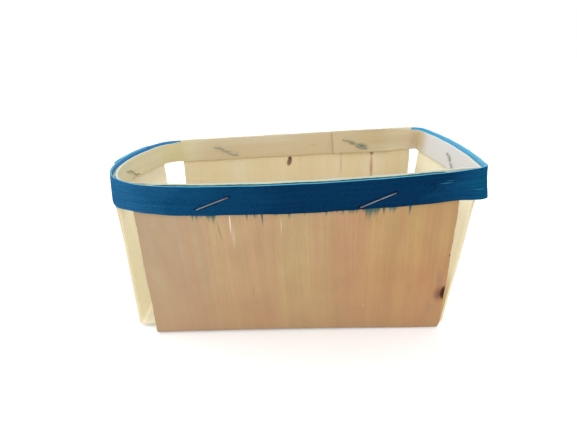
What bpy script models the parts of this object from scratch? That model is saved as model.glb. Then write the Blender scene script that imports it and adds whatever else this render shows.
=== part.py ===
# Berry basket of folded wood veneer, held at the rim by two bands and six wire staples.
# Metres, +Z up. +X runs along the length, -Y is the front, and the floor is Z = 0.
import math

import bmesh
import bpy
import numpy as np
from mathutils import Matrix, Vector
from mathutils.geometry import interpolate_bezier

# Sheets
VENEER_THICKNESS = 0.0015
BAND_THICKNESS = 0.0013
LAYER_GAP = 0.0003
FOLD_RADIUS = 0.0016
FOLD_STEPS = 6
SHEET_SMOOTH_ANGLE = math.radians(40.0)

# Base rectangle, between the middles of the walls where they meet the floor
BASE_LENGTH = 0.2026
BASE_DEPTH = 0.1180
BASE_TURN = math.radians(0.9)

# Rim outline at the middle of the walls: its corners lean out from the base's by these, and the
# reaches run from the middle of the base
LEFT_LEAN = -0.0016
RIGHT_LEAN = 0.0093
FRONT_LEAN = -0.0005
BACK_LEAN = 0.0022
LEFT_REACH = BASE_LENGTH / 2 + LEFT_LEAN
RIGHT_REACH = BASE_LENGTH / 2 + RIGHT_LEAN
FRONT_REACH = BASE_DEPTH / 2 + FRONT_LEAN
BACK_REACH = BASE_DEPTH / 2 + BACK_LEAN
LEFT_SKEW = 0.0045
RIGHT_SKEW = 0.0012
FRONT_SKEW = 0.0015
FRONT_BULGE = 0.0125
BACK_BULGE = 0.0008
LEFT_BULGE = 0.0175
RIGHT_BULGE = 0.0055
FRONT_LEFT_ROUNDING = 0.0380
FRONT_RIGHT_ROUNDING = 0.0068
BACK_RIGHT_ROUNDING = 0.0090
BACK_LEFT_ROUNDING = 0.0105
CORNER_HANDLE_SHARE = 0.39
SIDE_STEPS = 80
CORNER_STEPS = 60

# Rise of the walls: the collar is the part that the bands hold
RIM_HEIGHT = 0.1063
RIM_RISE = 0.0072
COLLAR_DEPTH = 0.0210
LEFT_BELLY = 0.0035

# Between two walls, at the right corners, the bands' lower edge is pulled out towards the end
FRONT_RIGHT_SPLAY = 0.0060
INNER_FRONT_RIGHT_SPLAY = 0.0010
BACK_RIGHT_SPLAY = 0.0013
SPLAY_TURN = math.radians(28.0)
SPLAY_OVERRUN = 0.0020

# Folded sheets: the cross sheet makes front, base and back, the lengthwise one both ends
# Each edge stops short of the rim's corner by its inset
CROSS_FRONT_LEFT_INSET = 0.0083
CROSS_FRONT_RIGHT_INSET = 0.0125
CROSS_BACK_LEFT_INSET = 0.0097
CROSS_BACK_RIGHT_INSET = 0.0076
CROSS_FRONT_SKEW = 0.0029
CROSS_FRONT_TAPER = 0.0020
CROSS_STAND = 0.0007
END_LEFT_FRONT_INSET = 0.0135
END_RIGHT_FRONT_INSET = 0.0045
END_LEFT_BACK_INSET = 0.0050
END_RIGHT_BACK_INSET = 0.0072
END_LEFT_SHIFT = 0.0040
END_LEFT_TURN = math.radians(1.4)
END_WALL_DROP = 0.0025
SHEET_STEPS = 56
CROSS_WALL_STEPS = 1
LENGTHWISE_WALL_STEPS = 4

# Bands round the rim
OUTER_BAND_HEIGHT = 0.0175
INNER_BAND_HEIGHT = 0.0177
INNER_STAND = 0.0004
INNER_END_DROP = 0.0018
INNER_DIP_RUN = 0.0180
OUTER_LAP_START = 0.0420
OUTER_LAP_LENGTH = 0.0460
INNER_LAP_START = 0.0380
INNER_LAP_LENGTH = 0.0440
LAP_RAMP = 0.0100
BAND_STEP = 0.0028

# Staples: round wire, crown outside and both legs clinched inside
WIRE_DIAMETER = 0.0009
CROWN_LENGTH = 0.0207
CLINCH_LENGTH = 0.0095
WIRE_BEND = 0.0009
BEND_STEPS = 4
WIRE_ARC_STEPS = 2
WIRE_SMOOTH_ANGLE = math.radians(50.0)
MERGE_SHARE = 0.01
HOLE_CLEARANCE = 0.0003
HOLE_SIDES = 16
STAPLE_SLOPE = math.radians(20.5)
CLINCH_TURN = math.radians(-8.0)
CUTTER_OVERRUN = 0.0040

# Each staple's middle, as shares of the reach along its side and of the outer band's height
FRONT_LEFT_STAPLE_SHARES = (-0.398, 0.56)
FRONT_RIGHT_STAPLE_SHARES = (0.46, 0.69)
BACK_LEFT_STAPLE_SHARES = (-0.525, 0.61)
BACK_RIGHT_STAPLE_SHARES = (0.509, 0.59)
LEFT_END_STAPLE_SHARES = (0.20, 0.70)
RIGHT_END_STAPLE_SHARES = (-0.15, 0.67)


def clear_scene():
    for item in list(bpy.data.objects):
        bpy.data.objects.remove(item, do_unlink=True)


def new_collection(name):
    collection = bpy.data.collections.new(name)
    bpy.context.scene.collection.children.link(collection)
    return collection


def make_material(name, colour, roughness, metallic=0.0):
    material = bpy.data.materials.new(name)
    material.use_nodes = True
    shader = material.node_tree.nodes["Principled BSDF"]
    shader.inputs["Base Color"].default_value = (*colour, 1.0)
    shader.inputs["Roughness"].default_value = roughness
    shader.inputs["Metallic"].default_value = metallic
    return material


def ease(share):
    share = min(max(share, 0.0), 1.0)
    return share * share * (3 - 2 * share)


def cross_edges(side):
    """Where the cross sheet's two edges run on the front (-1) or back (1) wall."""
    if side < 0:
        return CROSS_FRONT_LEFT_INSET - LEFT_REACH, RIGHT_REACH - CROSS_FRONT_RIGHT_INSET
    return CROSS_BACK_LEFT_INSET - LEFT_REACH, RIGHT_REACH - CROSS_BACK_RIGHT_INSET


def lengthwise_edges(side):
    """Where the lengthwise sheet's two edges run on the left (-1) or right (1) end wall."""
    if side < 0:
        return END_LEFT_FRONT_INSET - FRONT_REACH, BACK_REACH - END_LEFT_BACK_INSET
    return END_RIGHT_FRONT_INSET - FRONT_REACH, BACK_REACH - END_RIGHT_BACK_INSET


class Rim:
    """The walls' middle surface: a bowed outline at the rim, ruled down to the base rectangle."""

    def __init__(self, front_splay):
        self.front_splay = front_splay
        front_left = Vector((-LEFT_REACH + LEFT_SKEW, -FRONT_REACH + FRONT_SKEW))
        front_right = Vector((RIGHT_REACH + RIGHT_SKEW, -FRONT_REACH - FRONT_SKEW))
        back_right = Vector((RIGHT_REACH - RIGHT_SKEW, BACK_REACH))
        back_left = Vector((-LEFT_REACH - LEFT_SKEW, BACK_REACH))
        corners = (front_left, front_right, back_right, back_left)
        bulges = (FRONT_BULGE, RIGHT_BULGE, BACK_BULGE, LEFT_BULGE)
        roundings = (FRONT_LEFT_ROUNDING, FRONT_RIGHT_ROUNDING, BACK_RIGHT_ROUNDING, BACK_LEFT_ROUNDING)
        sides = []
        for index in range(4):
            after = (index + 1) % 4
            sides.append(self.side(corners[index], corners[after], bulges[index], roundings[index],
                                   roundings[after]))
        outline = []
        for index in range(4):
            points = sides[index]
            following = sides[(index + 1) % 4]
            outline.extend(points)
            outline.extend(self.corner(points, following))
        self.outline = np.array([(point.x, point.y) for point in outline])
        self.half_length = BASE_LENGTH / 2
        self.half_depth = BASE_DEPTH / 2
        self.turn_to_arclength()
        self.find_leans()

    @staticmethod
    def side(start, end, bulge, rounding_start, rounding_end):
        """Points along one bowed side, between the two rounded corners."""
        chord = end - start
        along = chord.normalized()
        outward = Vector((along.y, -along.x))
        points = []
        for step in range(SIDE_STEPS + 1):
            share = step / SIDE_STEPS
            distance = rounding_start + (chord.length - rounding_start - rounding_end) * share
            centred = 2 * distance / chord.length - 1
            points.append(start + along * distance + outward * bulge * (1 - centred * centred))
        return points

    @staticmethod
    def corner(points, following):
        """A rounded corner from the end of one side to the start of the next."""
        start, end = points[-1], following[0]
        leave = (points[-1] - points[-2]).normalized()
        arrive = (following[1] - following[0]).normalized()
        reach = (end - start).length * CORNER_HANDLE_SHARE
        curve = interpolate_bezier(start.to_3d(), (start + leave * reach).to_3d(),
                                   (end - arrive * reach).to_3d(), end.to_3d(), CORNER_STEPS + 1)
        return [point.to_2d() for point in curve[1:-1]]

    def turn_to_arclength(self):
        closed = np.vstack([self.outline, self.outline[:1]])
        steps = np.hypot(*np.diff(closed, axis=0).T)
        self.closed = closed
        self.distance = np.concatenate([[0.0], np.cumsum(steps)])
        self.length = self.distance[-1]

    def find_leans(self):
        """How the surface moves in plan at each outline point.

        Its lean takes it from the floor to the rim, and its pull bows it out below the rim.
        """
        leans = []
        pulls = []
        for (x, y), distance in zip(self.outline, self.distance):
            side = 1 if y > 0 else -1
            side_lean = Vector((self.sideways(x, side), y - self.fold_line(x, side)))
            end_lean = Vector((x - self.end_line(x, y), self.end_spread(x, y)))
            low, high = cross_edges(side)
            past_side = max(x - high, low - x, 0.0)
            near, far = lengthwise_edges(math.copysign(1, x))
            before_end = max(near - y, y - far, 0.0)
            share = past_side / (past_side + before_end) if past_side else 0.0
            lean = side_lean.lerp(end_lean, ease(share))
            if x > 0:
                outward = Vector((math.cos(SPLAY_TURN), side * math.sin(SPLAY_TURN)))
                reach = self.front_splay if y < 0 else BACK_RIGHT_SPLAY
                leave = self.distance_of(0, high - SPLAY_OVERRUN, side)
                arrive = self.distance_of(1, near + SPLAY_OVERRUN if y < 0 else far - SPLAY_OVERRUN, 1)
                free_share = min(max((distance - leave) / (arrive - leave), 0.0), 1.0)
                pull = outward * reach * math.sin(math.pi * free_share) ** 2
            else:
                middle_share = 1 - (y / BACK_REACH) ** 4
                pull = Vector((-LEFT_BELLY * ease(share) * max(middle_share, 0.0), 0.0))
            leans.append((lean.x, lean.y))
            pulls.append((pull.x, pull.y))
        self.lean = np.array(leans + leans[:1])
        self.pull = np.array(pulls + pulls[:1])

    def end_spread(self, x, y):
        """How far an end wall moves along Y from its foot to its rim.

        Its sheet keeps its width, so it spans less where it is bowed at the rim than at its foot.
        """
        side = math.copysign(1, x)
        near, far = lengthwise_edges(side)
        held = min(max(y, near), far)
        flat = side * (self.distance_of(1, held, side) - self.distance_of(1, 0.0, side))
        return held - flat + (END_LEFT_SHIFT if side < 0 else 0.0)

    def fold_line(self, x, side):
        """Where the front or back wall meets the floor: the cross sheet lies slightly turned."""
        return side * self.half_depth + x * math.tan(BASE_TURN)

    def end_line(self, x, y):
        """Where an end wall meets the floor: the left fold lies slightly turned."""
        if x > 0:
            return self.half_length
        return -self.half_length - y * math.tan(END_LEFT_TURN)

    def sideways(self, x, side):
        """How far the front wall spreads along X from its foot to its rim; the back one doesn't."""
        if side > 0:
            return 0.0
        return CROSS_FRONT_TAPER * x / self.half_length - CROSS_FRONT_SKEW

    def height_at(self, x):
        """Height of the rim, which rises from the left end to the right one."""
        return RIM_HEIGHT + RIM_RISE * x / (LEFT_REACH + RIGHT_REACH)

    def plan(self, distance):
        """Outline point, lean and pull at a distance along the outline."""
        wrapped = np.mod(distance, self.length)
        point = np.array([np.interp(wrapped, self.distance, self.closed[:, axis]) for axis in range(2)])
        lean = np.array([np.interp(wrapped, self.distance, self.lean[:, axis]) for axis in range(2)])
        pull = np.array([np.interp(wrapped, self.distance, self.pull[:, axis]) for axis in range(2)])
        return point, lean, pull

    def wall_spot(self, distance, drop):
        """A point of the walls' middle surface, some way below the rim."""
        point, lean, pull = self.plan(distance)
        height = self.height_at(point[0])
        below = (drop - COLLAR_DEPTH) / (height - COLLAR_DEPTH)
        bow = drop / COLLAR_DEPTH if below < 0 else 1 - below * below
        spot = point - lean * (drop / height) + pull * bow
        return Vector((spot[0], spot[1], height - drop))

    def surface(self, distance, drop, offset):
        """A place on the walls' middle surface or outside it, and the directions there."""
        nudge = BAND_STEP / 2
        ahead = self.wall_spot(distance + nudge, drop)
        behind = self.wall_spot(distance - nudge, drop)
        tangent = (ahead - behind).normalized()
        ruling = (self.wall_spot(distance, 0.0) - self.wall_spot(distance, COLLAR_DEPTH)).normalized()
        normal = tangent.cross(ruling).normalized()
        return self.wall_spot(distance, drop) + normal * offset, normal, tangent, ruling

    def distance_of(self, axis, value, side):
        """Distance along the outline where it crosses a plane, on the side that is asked for."""
        other = 1 - axis
        coordinates = self.closed[:, axis]
        for index in range(len(coordinates) - 1):
            first, second = coordinates[index], coordinates[index + 1]
            if (first - value) * (second - value) <= 0 and self.closed[index, other] * side > 0:
                share = (value - first) / (second - first) if second != first else 0.0
                return self.distance[index] + share * (self.distance[index + 1] - self.distance[index])
        raise ValueError("the outline doesn't reach that place")


def grid_object(name, rows, collection):
    """An open sheet through rows of points, as a grid whose vertices are set in place."""
    mesh = bpy.data.meshes.new(name)
    builder = bmesh.new()
    bmesh.ops.create_grid(builder, x_segments=len(rows[0]) - 1, y_segments=len(rows) - 1,
                          size=BASE_LENGTH / 2)
    builder.verts.ensure_lookup_table()
    for row_index, row in enumerate(rows):
        for column_index, spot in enumerate(row):
            builder.verts[row_index * len(row) + column_index].co = spot
    bmesh.ops.recalc_face_normals(builder, faces=builder.faces)
    builder.to_mesh(mesh)
    builder.free()
    item = bpy.data.objects.new(name, mesh)
    collection.objects.link(item)
    return item


def thicken(item, thickness):
    solidify = item.modifiers.new("thickness", "SOLIDIFY")
    solidify.thickness = thickness
    solidify.offset = 0.0
    solidify.use_even_offset = True
    item.data.shade_smooth()
    item.data.set_sharp_from_angle(angle=SHEET_SMOOTH_ANGLE)


def fold_profile(wall, foot, floor_height, inward):
    """The points of one wall, then its fold, down to where the base starts."""
    slope = wall[-1] - foot
    foot = foot + slope * ((floor_height - foot.z) / slope.z)
    up = (wall[-1] - foot).normalized()
    turn = up.angle(inward)
    run = FOLD_RADIUS * math.tan((math.pi - turn) / 2)
    start = foot + up * run
    centre = foot + (up + inward).normalized() * FOLD_RADIUS / math.sin(turn / 2)
    spoke = start - centre
    axis = spoke.cross(foot + inward * run - centre).normalized()
    points = [*wall, start]
    for step in range(1, FOLD_STEPS + 1):
        angle = (math.pi - turn) * step / FOLD_STEPS
        points.append(centre + Matrix.Rotation(angle, 3, axis) @ spoke)
    return points


def folded_sheet(name, rim, across, edges, floor_height, rim_change, wall_steps, collection):
    """A sheet folded up at both ends of the base; 'across' is the axis along its folds."""
    along = 1 - across
    rows = []
    for step in range(SHEET_STEPS + 1):
        halves = []
        for side in (-1, 1):
            low, high = edges(side)
            position = low + (high - low) * step / SHEET_STEPS
            distance = rim.distance_of(across, position, side)
            height = rim.wall_spot(distance, 0.0).z
            wall = [rim.wall_spot(distance, -rim_change)]
            for level in range(wall_steps):
                drop = COLLAR_DEPTH + (height - COLLAR_DEPTH) * level / wall_steps
                wall.append(rim.wall_spot(distance, drop))
            inward = Vector((0.0, 0.0, 0.0))
            inward[along] = -side
            halves.append(fold_profile(wall, rim.wall_spot(distance, height), floor_height, inward))
        rows.append(halves[0] + halves[1][::-1])
    return grid_object(name, rows, collection)


def band(name, rim, offset, side, height, lap_start, lap_length, top_change, collection):
    """A strip right round the rim, whose last end lies over its first one.

    'side' is 1 where that end lies outside and -1 where it lies inside.
    """
    total = rim.length + lap_length
    count = int(math.ceil(total / BAND_STEP))
    lift = side * (BAND_THICKNESS + LAYER_GAP)
    rows = []
    for step in range(count + 1):
        run = total * step / count
        distance = lap_start + run
        over = ease((run - rim.length + LAP_RAMP) / LAP_RAMP)
        top = top_change(distance)
        column = []
        for drop in (top, height):
            column.append(rim.surface(distance, drop, offset + lift * over)[0])
        rows.append(column)
    item = grid_object(name, rows, collection)
    thicken(item, BAND_THICKNESS)
    return item


def band_top_inside(rim, distance):
    """The inner strip's top stands up at front and back, and dips along the two ends."""
    point, _, _ = rim.plan(distance)
    reach = RIGHT_REACH if point[0] > 0 else LEFT_REACH
    share = ease((abs(point[0]) - reach + INNER_DIP_RUN) / INNER_DIP_RUN)
    return -INNER_STAND * (1 - share) + INNER_END_DROP * share


def staple_place(axis, place_share):
    """Where a staple sits along its side of the rim, as a share of the reach that way."""
    if axis == 0:
        reach = RIGHT_REACH if place_share > 0 else LEFT_REACH
    else:
        reach = BACK_REACH if place_share > 0 else FRONT_REACH
    return place_share * reach


def wire_points(rim, distance, drop, outside, inside):
    """The staple's route: tip, clinch, leg, crown, leg, clinch, tip, with rounded bends."""
    middle, normal, tangent, ruling = rim.surface(distance, drop, 0.0)
    crown_way = (tangent * math.cos(STAPLE_SLOPE) + ruling * math.sin(STAPLE_SLOPE)).normalized()
    crown_half = CROWN_LENGTH / 2
    inner_depth = inside
    for end in (-1, 1):
        leg_distance = distance + end * crown_half * math.cos(STAPLE_SLOPE)
        leg_drop = drop - end * crown_half * math.sin(STAPLE_SLOPE)
        spot = rim.wall_spot(leg_distance, leg_drop)
        inner_depth = max(inner_depth, inside - (spot - middle).dot(normal))
    legs = []
    for end in (-1, 1):
        top = middle + crown_way * crown_half * end + normal * outside
        foot = middle + crown_way * crown_half * end - normal * inner_depth
        clinch_way = Matrix.Rotation(CLINCH_TURN, 3, normal) @ (crown_way * -end)
        tip = foot + clinch_way * CLINCH_LENGTH
        legs.append((top, foot, tip))
    left, right = legs
    return [left[2], left[1], left[0], right[0], right[1], right[2]], normal


def rounded_route(corners):
    """The route with each inner corner turned into an arc."""
    route = [corners[0]]
    for before, corner, after in zip(corners, corners[1:], corners[2:]):
        back = (before - corner).normalized()
        forth = (after - corner).normalized()
        turn = math.pi - back.angle(forth)
        run = WIRE_BEND * math.tan(turn / 2)
        start = corner + back * run
        centre = corner + (back + forth).normalized() * WIRE_BEND / math.cos(turn / 2)
        spoke = start - centre
        axis = spoke.cross(corner + forth * run - centre).normalized()
        for step in range(BEND_STEPS + 1):
            route.append(centre + Matrix.Rotation(turn * step / BEND_STEPS, 3, axis) @ spoke)
    route.append(corners[-1])
    return route


def wire(name, route, collection):
    curve = bpy.data.curves.new(name, "CURVE")
    curve.dimensions = "3D"
    curve.bevel_depth = WIRE_DIAMETER / 2
    curve.bevel_resolution = WIRE_ARC_STEPS
    curve.use_fill_caps = True
    spline = curve.splines.new("POLY")
    spline.points.add(len(route) - 1)
    for point, spot in zip(spline.points, route):
        point.co = (*spot, 1.0)
    guide = bpy.data.objects.new(name + "_route", curve)
    collection.objects.link(guide)
    bpy.context.view_layer.update()
    evaluated = guide.evaluated_get(bpy.context.evaluated_depsgraph_get())
    mesh = bpy.data.meshes.new_from_object(evaluated)
    bpy.data.objects.remove(guide, do_unlink=True)
    builder = bmesh.new()
    builder.from_mesh(mesh)
    bmesh.ops.remove_doubles(builder, verts=builder.verts, dist=WIRE_DIAMETER * MERGE_SHARE)
    builder.to_mesh(mesh)
    builder.free()
    mesh.name = name
    item = bpy.data.objects.new(name, mesh)
    collection.objects.link(item)
    mesh.shade_smooth()
    mesh.set_sharp_from_angle(angle=WIRE_SMOOTH_ANGLE)
    return item


def hole_cutter(name, spot, way, length, collection):
    mesh = bpy.data.meshes.new(name)
    builder = bmesh.new()
    radius = WIRE_DIAMETER / 2 + HOLE_CLEARANCE
    bmesh.ops.create_cone(builder, cap_ends=True, segments=HOLE_SIDES, radius1=radius, radius2=radius,
                          depth=length)
    turn = way.to_track_quat("Z", "Y").to_matrix().to_4x4()
    bmesh.ops.transform(builder, matrix=Matrix.Translation(spot) @ turn, verts=builder.verts)
    builder.to_mesh(mesh)
    builder.free()
    cutter = bpy.data.objects.new(name, mesh)
    cutter.hide_render = True
    cutter.display_type = "WIRE"
    collection.objects.link(cutter)
    return cutter


def cut(item, cutter):
    modifier = item.modifiers.new(cutter.name, "BOOLEAN")
    modifier.operation = "DIFFERENCE"
    modifier.solver = "EXACT"
    modifier.object = cutter


def stand_on_floor(items, movers):
    """Moves the whole basket so that its box stands on Z = 0 with its middle on the Z axis."""
    bpy.context.view_layer.update()
    graph = bpy.context.evaluated_depsgraph_get()
    spots = []
    for item in items:
        evaluated = item.evaluated_get(graph)
        spots.extend(evaluated.matrix_world @ vertex.co for vertex in evaluated.data.vertices)
    low = Vector([min(spot[axis] for spot in spots) for axis in range(3)])
    high = Vector([max(spot[axis] for spot in spots) for axis in range(3)])
    shift = Matrix.Translation(Vector((-(low.x + high.x) / 2, -(low.y + high.y) / 2, -low.z)))
    for item in movers:
        item.data.transform(shift)


def build():
    clear_scene()
    parts = new_collection("berry_basket")
    cutters = new_collection("berry_basket_cutters")
    rim = Rim(FRONT_RIGHT_SPLAY)
    inner_rim = Rim(INNER_FRONT_RIGHT_SPLAY)

    outer_wood = make_material("wood_outside", (0.52, 0.36, 0.22), 0.62)
    pale_wood = make_material("wood_inside", (0.69, 0.57, 0.36), 0.62)
    blue_wood = make_material("wood_blue", (0.01, 0.09, 0.20), 0.5)
    steel = make_material("steel_wire", (0.42, 0.38, 0.35), 0.35, 1.0)

    cross = folded_sheet("cross_veneer", rim, 0, cross_edges, VENEER_THICKNESS / 2, CROSS_STAND,
                         CROSS_WALL_STEPS, parts)
    thicken(cross, VENEER_THICKNESS)

    upper_floor = VENEER_THICKNESS + LAYER_GAP + VENEER_THICKNESS / 2
    lengthwise = folded_sheet("lengthwise_veneer", rim, 1, lengthwise_edges, upper_floor, -END_WALL_DROP,
                              LENGTHWISE_WALL_STEPS, parts)
    thicken(lengthwise, VENEER_THICKNESS)

    layer = VENEER_THICKNESS / 2 + LAYER_GAP + BAND_THICKNESS / 2
    lap_lift = BAND_THICKNESS + LAYER_GAP
    outer_start = rim.distance_of(1, OUTER_LAP_START, -1)
    outer = band("outer_rim_band", rim, layer, 1, OUTER_BAND_HEIGHT, outer_start, OUTER_LAP_LENGTH,
                 lambda distance: 0.0, parts)
    inner_start = rim.distance_of(0, INNER_LAP_START + INNER_LAP_LENGTH, 1)
    inner = band("inner_rim_band", inner_rim, -layer, -1, INNER_BAND_HEIGHT, inner_start, INNER_LAP_LENGTH,
                 lambda distance: band_top_inside(rim, distance), parts)

    cross.data.materials.append(outer_wood)
    lengthwise.data.materials.append(pale_wood)
    outer.data.materials.append(blue_wood)
    inner.data.materials.append(pale_wood)

    outside = layer + BAND_THICKNESS / 2 + LAYER_GAP + WIRE_DIAMETER / 2
    staples = []
    places = (
        ("staple_front_left", 0, FRONT_LEFT_STAPLE_SHARES, -1, cross, 0.0, 0.0),
        ("staple_front_right", 0, FRONT_RIGHT_STAPLE_SHARES, -1, cross, 0.0, 0.0),
        ("staple_back_left", 0, BACK_LEFT_STAPLE_SHARES, 1, cross, 0.0, 0.0),
        ("staple_back_right", 0, BACK_RIGHT_STAPLE_SHARES, 1, cross, 0.0, lap_lift),
        ("staple_left_end", 1, LEFT_END_STAPLE_SHARES, -1, lengthwise, lap_lift, 0.0),
        ("staple_right_end", 1, RIGHT_END_STAPLE_SHARES, 1, lengthwise, 0.0, 0.0),
    )
    for name, axis, (place_share, drop_share), side, wall, more_outside, more_inside in places:
        distance = rim.distance_of(axis, staple_place(axis, place_share), side)
        corners, normal = wire_points(rim, distance, OUTER_BAND_HEIGHT * drop_share,
                                      outside + more_outside, outside + more_inside)
        staple = wire(name, rounded_route(corners), parts)
        staple.data.materials.clear()
        staple.data.materials.append(steel)
        staples.append(staple)
        reach = (corners[2] - corners[1]).length + 2 * CUTTER_OVERRUN
        for index, (top, foot) in enumerate(((corners[2], corners[1]), (corners[3], corners[4]))):
            cutter = hole_cutter(f"{name}_hole_{index + 1}", (top + foot) / 2, normal, reach, cutters)
            for sheet in (outer, wall, inner):
                cut(sheet, cutter)

    sheets = [cross, lengthwise, outer, inner]
    stand_on_floor(sheets + staples, sheets + staples + list(cutters.objects))


build()
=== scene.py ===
import math

import bmesh
import bpy
import numpy as np
from mathutils import Matrix, Vector
from mathutils.geometry import interpolate_bezier


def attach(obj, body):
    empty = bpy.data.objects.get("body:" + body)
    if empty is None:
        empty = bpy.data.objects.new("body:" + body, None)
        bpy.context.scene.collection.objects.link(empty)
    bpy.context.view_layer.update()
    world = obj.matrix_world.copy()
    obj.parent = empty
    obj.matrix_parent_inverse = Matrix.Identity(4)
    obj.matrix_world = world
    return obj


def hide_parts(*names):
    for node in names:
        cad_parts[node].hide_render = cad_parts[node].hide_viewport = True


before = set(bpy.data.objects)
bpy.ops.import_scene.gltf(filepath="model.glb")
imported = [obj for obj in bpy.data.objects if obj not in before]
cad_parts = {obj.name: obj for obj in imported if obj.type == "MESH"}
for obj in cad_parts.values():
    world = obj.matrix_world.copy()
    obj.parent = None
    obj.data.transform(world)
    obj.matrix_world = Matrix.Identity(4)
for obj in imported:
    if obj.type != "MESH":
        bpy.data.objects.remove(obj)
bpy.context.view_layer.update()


# White table and soft daylight. The table is a plain matt board that runs out of sight. A broad
# lamp hangs high on the left behind the basket, so its right end is lit from inside, and a wider
# and weaker one fills the front.

WHITE = (1.0, 1.0, 1.0, 1.0)
TABLE_SIZE = 8.0
TABLE_DROP = 0.0001
TABLE_COLOUR = (0.86, 0.86, 0.86, 1.0)
TABLE_ROUGHNESS = 0.9
TABLE_GLOW = 0.24
SKY_STRENGTH = 1.0
LAMP_AIM = (0.0, 0.0, 0.05)
LAMPS = (("window_light", (-0.75, 0.35, 1.30), 0.9, 5.0), ("front_fill", (0.40, -1.05, 0.95), 1.4, 4.5))
CAMERA_SPOT = (0.01000, -0.27094, 0.17231)
CAMERA_TURN = (67.311, 1.479, 0.871)
CAMERA_LENS = 24.95667
CAMERA_SENSOR = 36.0


def add(name, data):
    """A new object at the origin, in the scene."""
    made = bpy.data.objects.new(name, data)
    bpy.context.scene.collection.objects.link(made)
    return made


def join(node, inputs):
    """Joins a shader node's inputs to sockets, or sets them."""
    for key, value in inputs.items():
        if isinstance(value, bpy.types.NodeSocket):
            node.id_data.links.new(value, node.inputs[key])
        else:
            node.inputs[key].default_value = value


def put(tree, kind, inputs=None, **settings):
    """Adds a shader node with its settings and inputs."""
    made = tree.nodes.new(kind)
    for key, value in settings.items():
        setattr(made, key, value)
    join(made, inputs or {})
    return made


def maths(tree, operation, *values):
    return put(tree, "ShaderNodeMath", dict(enumerate(values)), operation=operation).outputs[0]


def times(tree, first, *others):
    for other in others:
        first = maths(tree, "MULTIPLY", first, other)
    return first


def new_finish(name):
    """A new material, with its tree and its shader."""
    finish = bpy.data.materials.new(name)
    finish.use_nodes = True
    return finish, finish.node_tree, finish.node_tree.nodes["Principled BSDF"]


table_mesh = bpy.data.meshes.new("table_top")
shaper = bmesh.new()
bmesh.ops.create_grid(shaper, x_segments=1, y_segments=1, size=TABLE_SIZE / 2)
bmesh.ops.translate(shaper, verts=shaper.verts, vec=(0.0, 0.0, -TABLE_DROP))
shaper.to_mesh(table_mesh)
shaper.free()
table = add("table_top", table_mesh)

# The board glows a little for rays that see it, and not for light that falls from it.
table_finish, tree, shader = new_finish("white_board")
path = put(tree, "ShaderNodeLightPath").outputs
seen = maths(tree, "MAXIMUM", path["Is Glossy Ray"], path["Is Transmission Ray"])
seen = maths(tree, "MAXIMUM", path["Is Camera Ray"], seen)
join(shader, {"Base Color": TABLE_COLOUR, "Roughness": TABLE_ROUGHNESS, "Emission Color": WHITE,
              "Emission Strength": times(tree, seen, TABLE_GLOW)})
table_mesh.materials.append(table_finish)

sky = bpy.data.worlds.new("studio")
bpy.context.scene.world = sky
sky.use_nodes = True
sky.node_tree.nodes.clear()
backdrop = put(sky.node_tree, "ShaderNodeBackground", {"Color": WHITE, "Strength": SKY_STRENGTH})
put(sky.node_tree, "ShaderNodeOutputWorld", {"Surface": backdrop.outputs[0]})

for name, spot, size, power in LAMPS:
    lamp_data = bpy.data.lights.new(name, "AREA")
    lamp_data.shape = "DISK"
    lamp_data.size = size
    lamp_data.energy = power
    lamp = add(name, lamp_data)
    lamp.location = spot
    lamp.rotation_euler = (Vector(LAMP_AIM) - Vector(spot)).to_track_quat("-Z", "Y").to_euler()

camera_data = bpy.data.cameras.new("view")
camera_data.sensor_width = CAMERA_SENSOR
camera_data.lens = CAMERA_LENS
camera = add("view", camera_data)
camera.location = CAMERA_SPOT
camera.rotation_euler = [math.radians(angle) for angle in CAMERA_TURN]
bpy.context.scene.camera = camera
bpy.context.scene.view_settings.view_transform = "Standard"


# Cross sheet: one rotary-cut veneer that makes the front, the base and the back. Its grain runs
# round the U, up the walls. It was scored, folded damp and is held only by the bands at its rim.

VENEER_THICKNESS = 0.0015
BAND_THICKNESS = 0.0013
LAYER_GAP = 0.0003
FOLD_RADIUS = 0.0016
EDGE_ROUND = 0.00022
SHARP_ANGLE = math.radians(50.0)

# The base, and the rim above it: how far its sides reach from the middle, how askew they lie, how
# far each bulges, in the order front, right, back, left, and how far from each corner they begin to
# turn, from the front left corner on.
BASE_LENGTH = 0.2026
BASE_DEPTH = 0.1180
BASE_TURN = math.radians(0.9)
LEFT_REACH = BASE_LENGTH / 2 - 0.0016
RIGHT_REACH = BASE_LENGTH / 2 + 0.0093
FRONT_REACH = BASE_DEPTH / 2 - 0.0005
BACK_REACH = BASE_DEPTH / 2 + 0.0022
LEFT_SKEW, RIGHT_SKEW, FRONT_SKEW = 0.0045, 0.0012, 0.0015
BULGES = (0.0125, 0.0055, 0.0008, 0.0175)
ROUNDINGS = (0.0380, 0.0068, 0.0090, 0.0105)
CORNER_HANDLE_SHARE = 0.39
SIDE_STEPS = 80
CORNER_STEPS = 60
RIM_HEIGHT = 0.1063
RIM_RISE = 0.0072
TO_MIDDLE = np.array((0.002147, 0.004055, 0.0))

# How the walls lean and bow between the base and the rim's collar.
COLLAR_DEPTH = 0.0210
LEFT_BELLY = 0.0035
FRONT_RIGHT_SPLAY = 0.0060
INNER_FRONT_RIGHT_SPLAY = 0.0010
BACK_RIGHT_SPLAY = 0.0013
SPLAY_TURN = math.radians(28.0)
SPLAY_OVERRUN = 0.0020
TANGENT_NUDGE = 0.0014

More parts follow.
